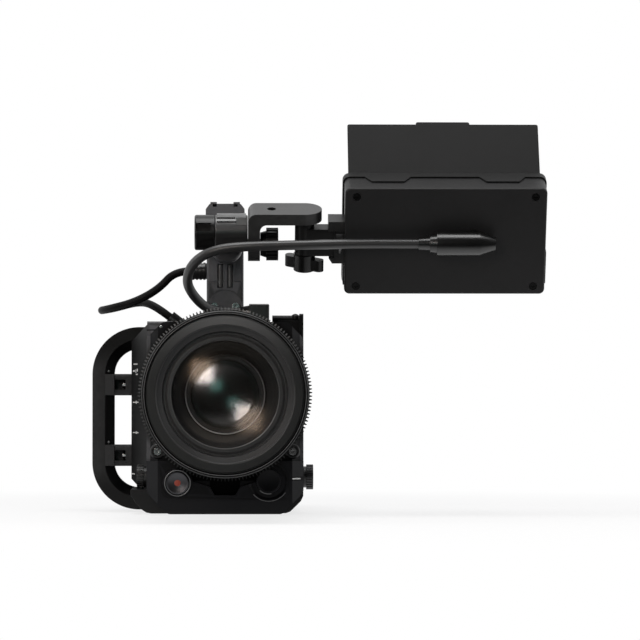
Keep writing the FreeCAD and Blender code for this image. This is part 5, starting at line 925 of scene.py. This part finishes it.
# %% Raised rims round the two buttons; the release's rim and glint are arcs only where light falls, as painted highlights
# The release's rim and glint are bright arcs only on the lit part of the release, painted highlights; the record rim is
# a whole ring.
for name, (x, z), radius, first, last, lift, width, material in (
        ("release_rim_highlight", RELEASE, 15.2, 126, 228, 0.0, 0.7, RIB),
        ("release_glint", RELEASE, 9.75, 168, 222, 0.1, 0.7, STEEL),
        ("record_rim", RECORD, 9.45, -70, 70, 1.85, 0.8, STEEL),
        ("record_rim_low", RECORD, 9.45, 70, 290, 1.85, 0.8, STEEL)):
    turns = [math.radians(first + (last - first) * i / 48) for i in range(49)]
    arc = [Vector((x + radius * math.sin(a), CHIN_Y - lift, z + radius * math.cos(a))) * MM for a in turns]
    tube(name, arc, width, "camera", "case_black", material, 12)
print("rims")

def declare(line, node):
    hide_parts(node)
    tuple(line[0])
    round(path_length(line), 4)
    [tuple(point) for point in line]


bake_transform(tilt_tube)
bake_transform(swivel_tube)
declare(tilt_part, "monitor_cable")
declare(swivel_part, "monitor_cable")
declare(handle_line, "handle_cable")

# %% [markdown]
# ## Lamps, feet, ribs and webs
# The battery shows its charge by four small lamps. The rest are the small solids that the CAD model
# leaves out: feet, the stop in the shoe, webs and pins of the side guard, and ribs on the handle's post.

# %% Charge lamps
def lamp_finish():
    f = Finish("charge_lamp", Emission_Strength=0.6)
    glow = f.noise(3000.0)
    return f.feed(Base_Color=f.shade(glow, (0.05, 0.30, 0.10, 1), (0.08, 0.42, 0.14, 1)),
                  Roughness=0.3 + glow * 0.05, Emission_Color=f.shade(glow, (0.05, 0.5, 0.15, 1), (0.08, 0.6, 0.2, 1)))


BATTERY_BACK = 136.0
set_out("charge_lamps", block(1.6, 0.5, 3.4), "battery", "battery_black", lamp_finish(), 4, step=0.0,
        place=(-9.0, BATTERY_BACK - 0.2, 118.0), along=(6.0, 0, 0))

# %% Fillings, guard webs, feet and ribs
def oblong(x0, z0, x1, z1):
    return [(x0, z0), (x1, z0), (x1, z1), (x0, z1)]


slab("shoulder_fill", [(40.0, 145.0), (56.0, 145.0), (57.4, 139.0), (57.4, 133.0), (48.0, 141.2), (40.0, 141.2)],
     -19.0, -9.0, DARK)
for word, z, pin_z in (("high", 96.4, 106.7), ("low", 42.5, 52.6)):
    slab("guard_web_" + word, oblong(-92.3, z - 8.0, -84.4, z + 8.0), 9.05, 12.5, GUARD)
    lathe("guard_pin_" + word, [(0, 11.3), (0.8, 11.4), (1.1, 11.9), (1.1, 13.8), (0, 13.8)], "camera", "steel", STEEL,
          steps=24, centre=(-88.8, pin_z))
slab("shoe_stop", oblong(-6.2, 228.6, 6.2, 231.0), -63.95, -62.8, CASE, edge=0.15)
slab("foot_left", [(-70.4, 18), (-70.4, 13.8), (-66.1, 7.6), (-61.7, 2.8), (-58.6, 0.9), (-55, 0.2), (-40, 0.2),
                   (-40, 10), (-50, 18)], -55.9, 10.0, PORT)
slab("foot_right", [(58.4, 24), (58.4, 13.2), (56.7, 9.5), (53.6, 6.3), (48.6, 1.5), (45.5, 0.4), (40, 0.2), (40, 8),
                    (46, 24)], -55.9, 0.0, PORT)
# The post's ribs wear RIB, a brighter copy of the case paint, as a painted highlight.
for side, word in SIDES:
    turns = [math.pi * i / 10 for i in range(11)]
    arc = [(side * 3.65 + 1.9 * math.cos(a), -34.0 - 1.7 * math.sin(a)) for a in turns]
    rib = prism("post_rib", [(x, y, 169.5) for x, y in arc], [(x, y, 186.5) for x, y in arc])
    rounded(piece("post_rib_" + word, rib, "camera", "case_black", RIB), 0.3)

# %% Webs where the hood's flaps are cut through for their hinges
def flap_web(name, body, hinge, across, along):
    """The web of a flap behind a hinge ear, where the CAD flap is cut right through."""
    over = across.cross(along)
    corners = [hinge + across * u + along * v + over * w
               for u in (-2.35, 2.35) for v in (1.9, 4.1) for w in (-0.8, 0.8)]
    web = solid(name, corners, [(0, 1, 3, 2), (4, 6, 7, 5), (0, 4, 5, 1), (2, 3, 7, 6), (0, 2, 6, 4), (1, 5, 7, 3)])
    settle(piece(name, web, body, node_slot[body], HOOD))


def up_and_back(degrees):
    return Vector((0, math.cos(math.radians(degrees)), math.sin(math.radians(degrees))))


MONITOR_X = 162.3
TOP_HINGE, SIDE_HINGE = (59.2, -80.85, 250.672), (73.2, -65.22, 213.852)  # X counts from the monitor's middle
FLAP_UP, FLAP_OUT = up_and_back(113.0), up_and_back(23.0)


def hinge_on(side, place):
    return Vector((MONITOR_X + side * place[0], *place[1:]))


for side, word in SIDES:
    flap_web("top_flap_web_" + word, "hood_top_flap", hinge_on(side, TOP_HINGE), Vector((1, 0, 0)), up_and_back(63.0))
    for end, level in ((-26.0, "low"), (26.0, "high")):
        flap_web("%s_flap_web_%s" % (word, level), "hood_%s_flap" % word,
                 hinge_on(side, SIDE_HINGE) + FLAP_UP * end, FLAP_UP, FLAP_OUT)
print("charge lamps, feet, ribs, pins and webs")

# %% [markdown]
# ## The studio
# The photograph has a pure white ground and soft light from large panels. White is seen only by
# camera, glossy and transmission rays, so it lights nothing; a grey world and the panels do that.
# The white stands behind and beside the camera that is photographed. The room on the side of the
# photographer is dark, and that dark room is what the blacks on the front reflect.

# %% World and floor
ROOM = 0.008  # how bright the dark side of the room is
SHADOW = 0.25  # the share of the floor near the camera that is lit paper and so shows its shadow


class Backdrop(Finish):
    """A node tree without a Principled shader, for the world and the floor."""

    def __init__(self, owner):
        owner.use_nodes = True
        self.nodes, self.links = owner.node_tree.nodes, owner.node_tree.links
        self.nodes.clear()

    def white(self, output, fade, lit, source, share=1.0):
        """White to the camera, white that fades into the dark room to mirrors and glass, lit to the rest."""
        seen = self.node("ShaderNodeLightPath")
        mirror = self.node("ShaderNodeLightPath", out="Is Glossy Ray")
        glass = self.node("ShaderNodeLightPath", out="Is Transmission Ray")
        bright = self.node(source, None, {"Color": grey(1.0), "Strength": seen.larger(fade)})
        mixed = self.node("ShaderNodeMixShader")
        for index, wire in enumerate(((seen * share).larger(mirror).larger(glass), lit, bright)):
            self.links.new(wire.socket, mixed.socket.node.inputs[index])
        self.links.new(mixed.socket, self.nodes.new(output).inputs["Surface"])


world = bpy.data.worlds.new("studio")
bpy.context.scene.world = world
sky = Backdrop(world)
y = sky.axes("Generated")[1]
soft = sky.node("ShaderNodeBackground", None, {"Color": (0.26, 0.26, 0.27, 1.0)})
sky.white("ShaderNodeOutputWorld", sky.ease(y, -0.6, 0.2, ROOM), soft, "ShaderNodeBackground")

FLOOR_HALF, FLOOR_Z = 6, -0.0005
corners = [(x * FLOOR_HALF, y * FLOOR_HALF, FLOOR_Z) for x, y in ((-1, -1), (1, -1), (1, 1), (-1, 1))]
floor = add_object("floor", mesh_of("floor", corners, [(0, 1, 2, 3)]))
paper = bpy.data.materials.new("white_paper")
sheet = Backdrop(paper)
x, y, z = sheet.axes()
near = sheet.ease((x * x + y * y) ** 0.5, 0.25, 0.70, SHADOW, 0.0)
matt = sheet.node("ShaderNodeBsdfDiffuse", None, {"Color": sheet.node("ShaderNodeLightPath") * 0.38 + 0.6})
sheet.white("ShaderNodeOutputMaterial", sheet.ease(y, -0.5, -0.12, ROOM), matt, "ShaderNodeEmission", 1.0 - near)
floor.data.materials.append(paper)

# %% Lights and the camera
def panel(name, place, target, size, power, colour=NEUTRAL):
    """A rectangular lamp at a place, turned to a target."""
    light = bpy.data.lights.new(name, "AREA")
    light.shape = "RECTANGLE"
    light.size, light.size_y = size
    light.energy = power
    light.color = colour
    obj = add_object(name, light)
    obj.location = place
    obj.rotation_euler = (Vector(target) - Vector(place)).to_track_quat("-Z", "Y").to_euler()


panel("top_panel", (0.0, -0.3, 1.5), (0.03, -0.05, 0.1), (1.2, 0.8), 13.5)
panel("left_panel", (-1.5, -0.5, 0.7), (0.0, -0.1, 0.1), (0.6, 1.2), 5.0)
panel("right_panel", (1.6, -0.5, 0.5), (0.05, -0.1, 0.1), (0.6, 1.2), 5.0)
LENS = (0.0, -0.226, AXIS)
panel("lens_key", (-0.440, -1.384, 0.529), LENS, (0.42, 0.42), 3.4, (1.0, 0.96, 0.97))
panel("lens_teal", (-0.19, -1.50, 0.28), LENS, (0.24, 0.24), 0.13, (0.30, 0.95, 0.85))
panel("lens_warm", (-0.455, -1.24, 0.545), LENS, (0.36, 0.36), 0.8, (1.0, 0.66, 0.36))

camera = bpy.data.cameras.new("camera")
camera.lens = 206.6
camera.sensor_width = 36.0
view = add_object("camera", camera)
view.location = (0.0, -2.798, AXIS)
view.rotation_euler = (math.radians(91.16), 0.0, math.radians(-1.48))
bpy.context.scene.camera = view
bpy.context.scene.view_settings.view_transform = "Standard"
